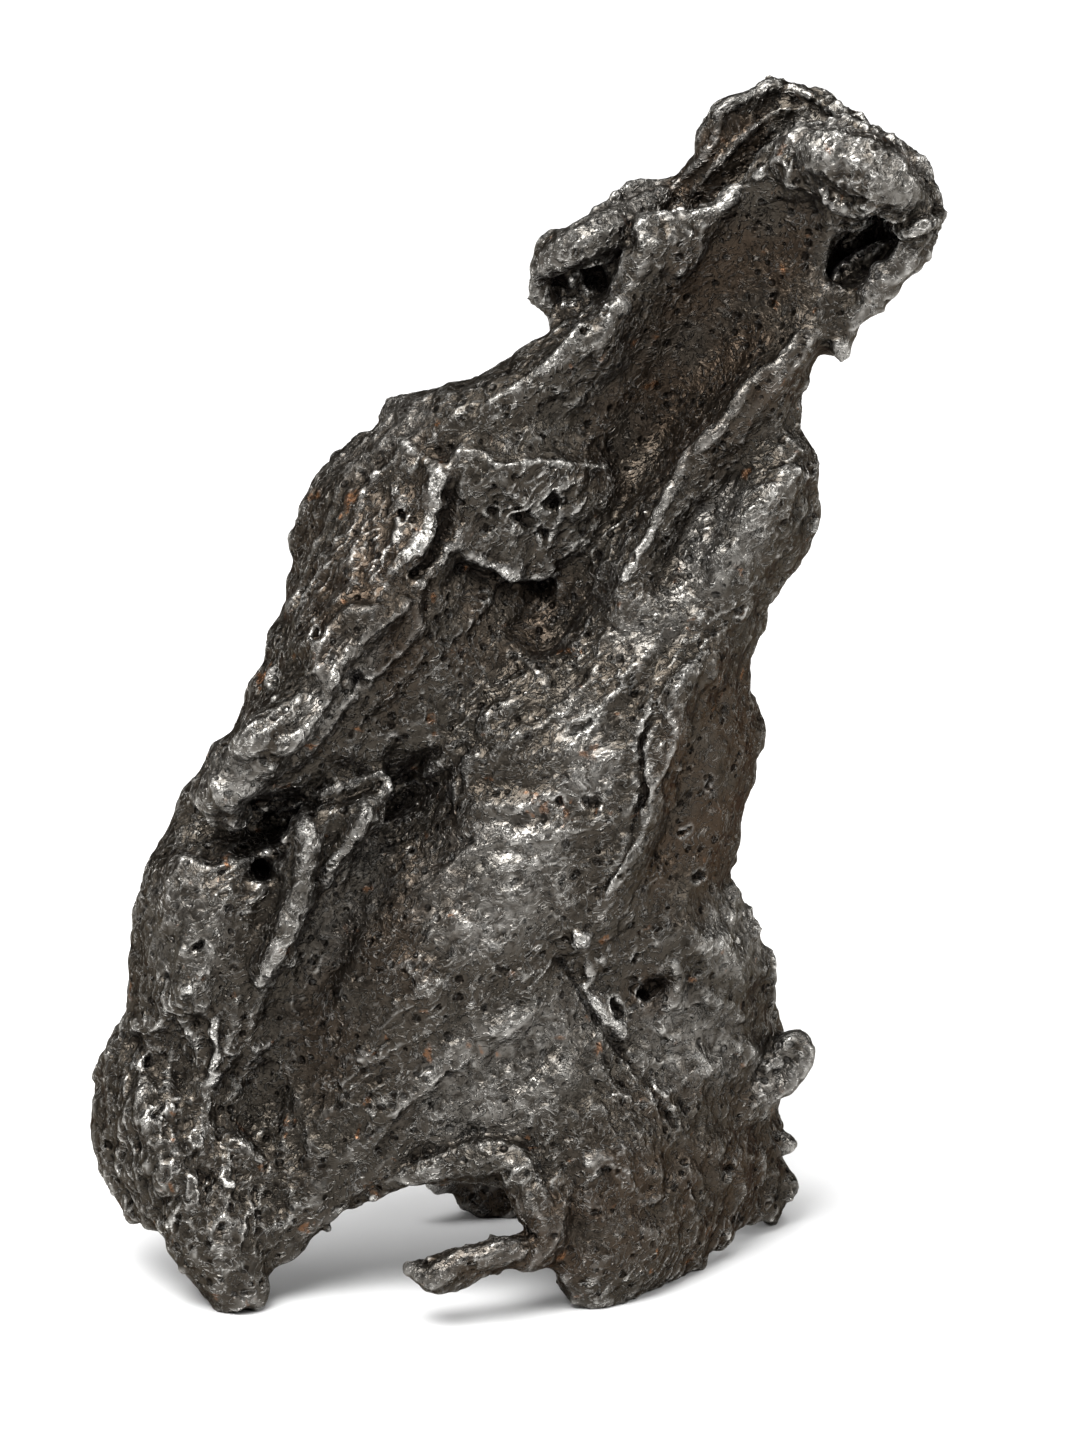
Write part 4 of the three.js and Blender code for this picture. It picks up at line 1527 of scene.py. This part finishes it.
    def material(self) -> bpy.types.Material:
        """Builds the finish.

        Returns:
            The material.
        """
        material = bpy.data.materials.new("nickel_iron")
        material.use_nodes = True
        material.node_tree.nodes.clear()
        sheet = NodeSheet(material.node_tree)
        where = sheet.add("ShaderNodeTexCoord").outputs["Object"]
        on = self.signs(sheet, where)
        wear_and_sheen = self.wear_and_sheen(sheet, on)
        rough = sheet.minus(sheet.ranged(on.grit, 0.3, 0.7, 0.27, 0.48), sheet.times(wear_and_sheen, 0.08))
        shader = sheet.add("ShaderNodeBsdfPrincipled")
        sheet.feed(shader, Base_Color=self.tint(sheet, where, on, wear_and_sheen), Normal=self.wrinkled(sheet, on))
        sheet.feed(shader, Roughness=rough, Metallic=self.metallic, Specular_Tint=self.grazing)
        sheet.plug(sheet.add("ShaderNodeOutputMaterial").inputs[0], shader.outputs[0])
        return material


@dataclass(frozen=True)
class Paper:
    """The plain pale sweep that the fragment stands on."""

    colour: Colour = (0.67, 0.67, 0.67, 1.0)
    rough: float = 0.9
    gloss: float = 0.1

    def material(self) -> bpy.types.Material:
        """Builds the finish.

        Returns:
            The material.
        """
        material = bpy.data.materials.new("pale_paper")
        material.use_nodes = True
        shader = material.node_tree.nodes["Principled BSDF"]
        shader.inputs["Base Color"].default_value = self.colour
        shader.inputs["Roughness"].default_value = self.rough
        shader.inputs["Specular IOR Level"].default_value = self.gloss
        return material


# ---------------------------------------------------------------- studio


@dataclass(frozen=True)
class Softbox:
    """A square area light aimed at the fragment."""

    name: str
    place: tuple[float, float, float]
    size: float
    power: float

    def build(self, aim: Vector) -> None:
        """Adds the light.

        Args:
            aim: the point it faces.
        """
        light = bpy.data.lights.new(self.name, "AREA")
        light.size = self.size
        light.energy = self.power
        holder = bpy.data.objects.new(self.name, light)
        holder.location = self.place
        holder.rotation_euler = (aim - Vector(self.place)).to_track_quat("-Z", "Y").to_euler()
        bpy.context.scene.collection.objects.link(holder)


@dataclass(frozen=True)
class Studio:
    """The floor, the lights, the sky and the camera. tall is the height of the view at the aim."""

    softboxes: tuple[Softbox, ...] = (
        Softbox("key_softbox", (-0.16, -0.30, 0.56), 0.34, 5.2),
        Softbox("right_strip", (0.60, -0.16, 0.34), 0.36, 3.0),
        Softbox("left_strip", (-0.60, -0.10, 0.38), 0.20, 0.8),
    )
    floor_size: float = 8.0
    sky: float = 0.10
    overhead: float = 4.4
    overhead_spread: float = math.radians(70)
    overhead_turn: tuple[float, float, float] = (math.radians(8), math.radians(-10), 0.0)
    lit_point: tuple[float, float, float] = (0.0, 0.0, 0.055)
    distance: float = 1.0
    tall: float = 0.144
    sensor: float = 36.0
    farthest: float = 20.0
    aim_on_face: tuple[float, float, float] = (10.0, 0.0, 58.5)

    def build(self, face: FaceFrame) -> None:
        """Adds everything around the fragment.

        Args:
            face: the fragment's face frame, which the camera looks at squarely.
        """
        scene = bpy.context.scene
        bpy.ops.mesh.primitive_plane_add(size=self.floor_size, location=(0, 0, 0))
        floor = bpy.context.object
        floor.name = "studio_floor"
        floor.data.materials.append(Paper().material())
        for softbox in self.softboxes:
            softbox.build(Vector(self.lit_point))
        lamp = bpy.data.lights.new("overhead", "SUN")
        lamp.energy = self.overhead
        lamp.angle = self.overhead_spread
        holder = bpy.data.objects.new("overhead", lamp)
        holder.rotation_euler = self.overhead_turn
        scene.collection.objects.link(holder)
        world = bpy.data.worlds.new("studio_sky")
        world.use_nodes = True
        background = world.node_tree.nodes["Background"].inputs
        background["Color"].default_value = (1.0, 1.0, 1.0, 1.0)
        background["Strength"].default_value = self.sky
        scene.world = world
        scene.view_settings.view_transform = "Standard"
        self.camera(face)

    def camera(self, face: FaceFrame) -> None:
        """Adds the camera, looking squarely at the face.

        Args:
            face: the fragment's face frame.
        """
        aim = Vector(face.to_row(np.array([self.aim_on_face]))[0])
        ahead = Vector(face.turn @ np.array([0.0, 1.0, 0.0]))
        camera = bpy.data.cameras.new("camera")
        camera.sensor_width = self.sensor
        camera.lens = self.sensor * self.distance / self.tall
        camera.clip_end = self.farthest
        holder = bpy.data.objects.new("camera", camera)
        holder.location = aim - ahead * self.distance
        holder.rotation_euler = ahead.to_track_quat("-Z", "Y").to_euler()
        bpy.context.scene.collection.objects.link(holder)
        bpy.context.scene.camera = holder


def main() -> None:
    """Builds the fragment, dresses it, and sets the studio around it."""
    logging.basicConfig(level=logging.INFO, format="%(relativeCreated)7d ms %(name)s: %(message)s")
    fragment = Fragment()
    piece = fragment.build()
    piece.data.materials.append(NickelIron().material())
    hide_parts(NODE)
    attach(piece, BODY)
    Studio().build(fragment.face)
    LOG.info("studio: ready")


if __name__ == "__main__":
    main()
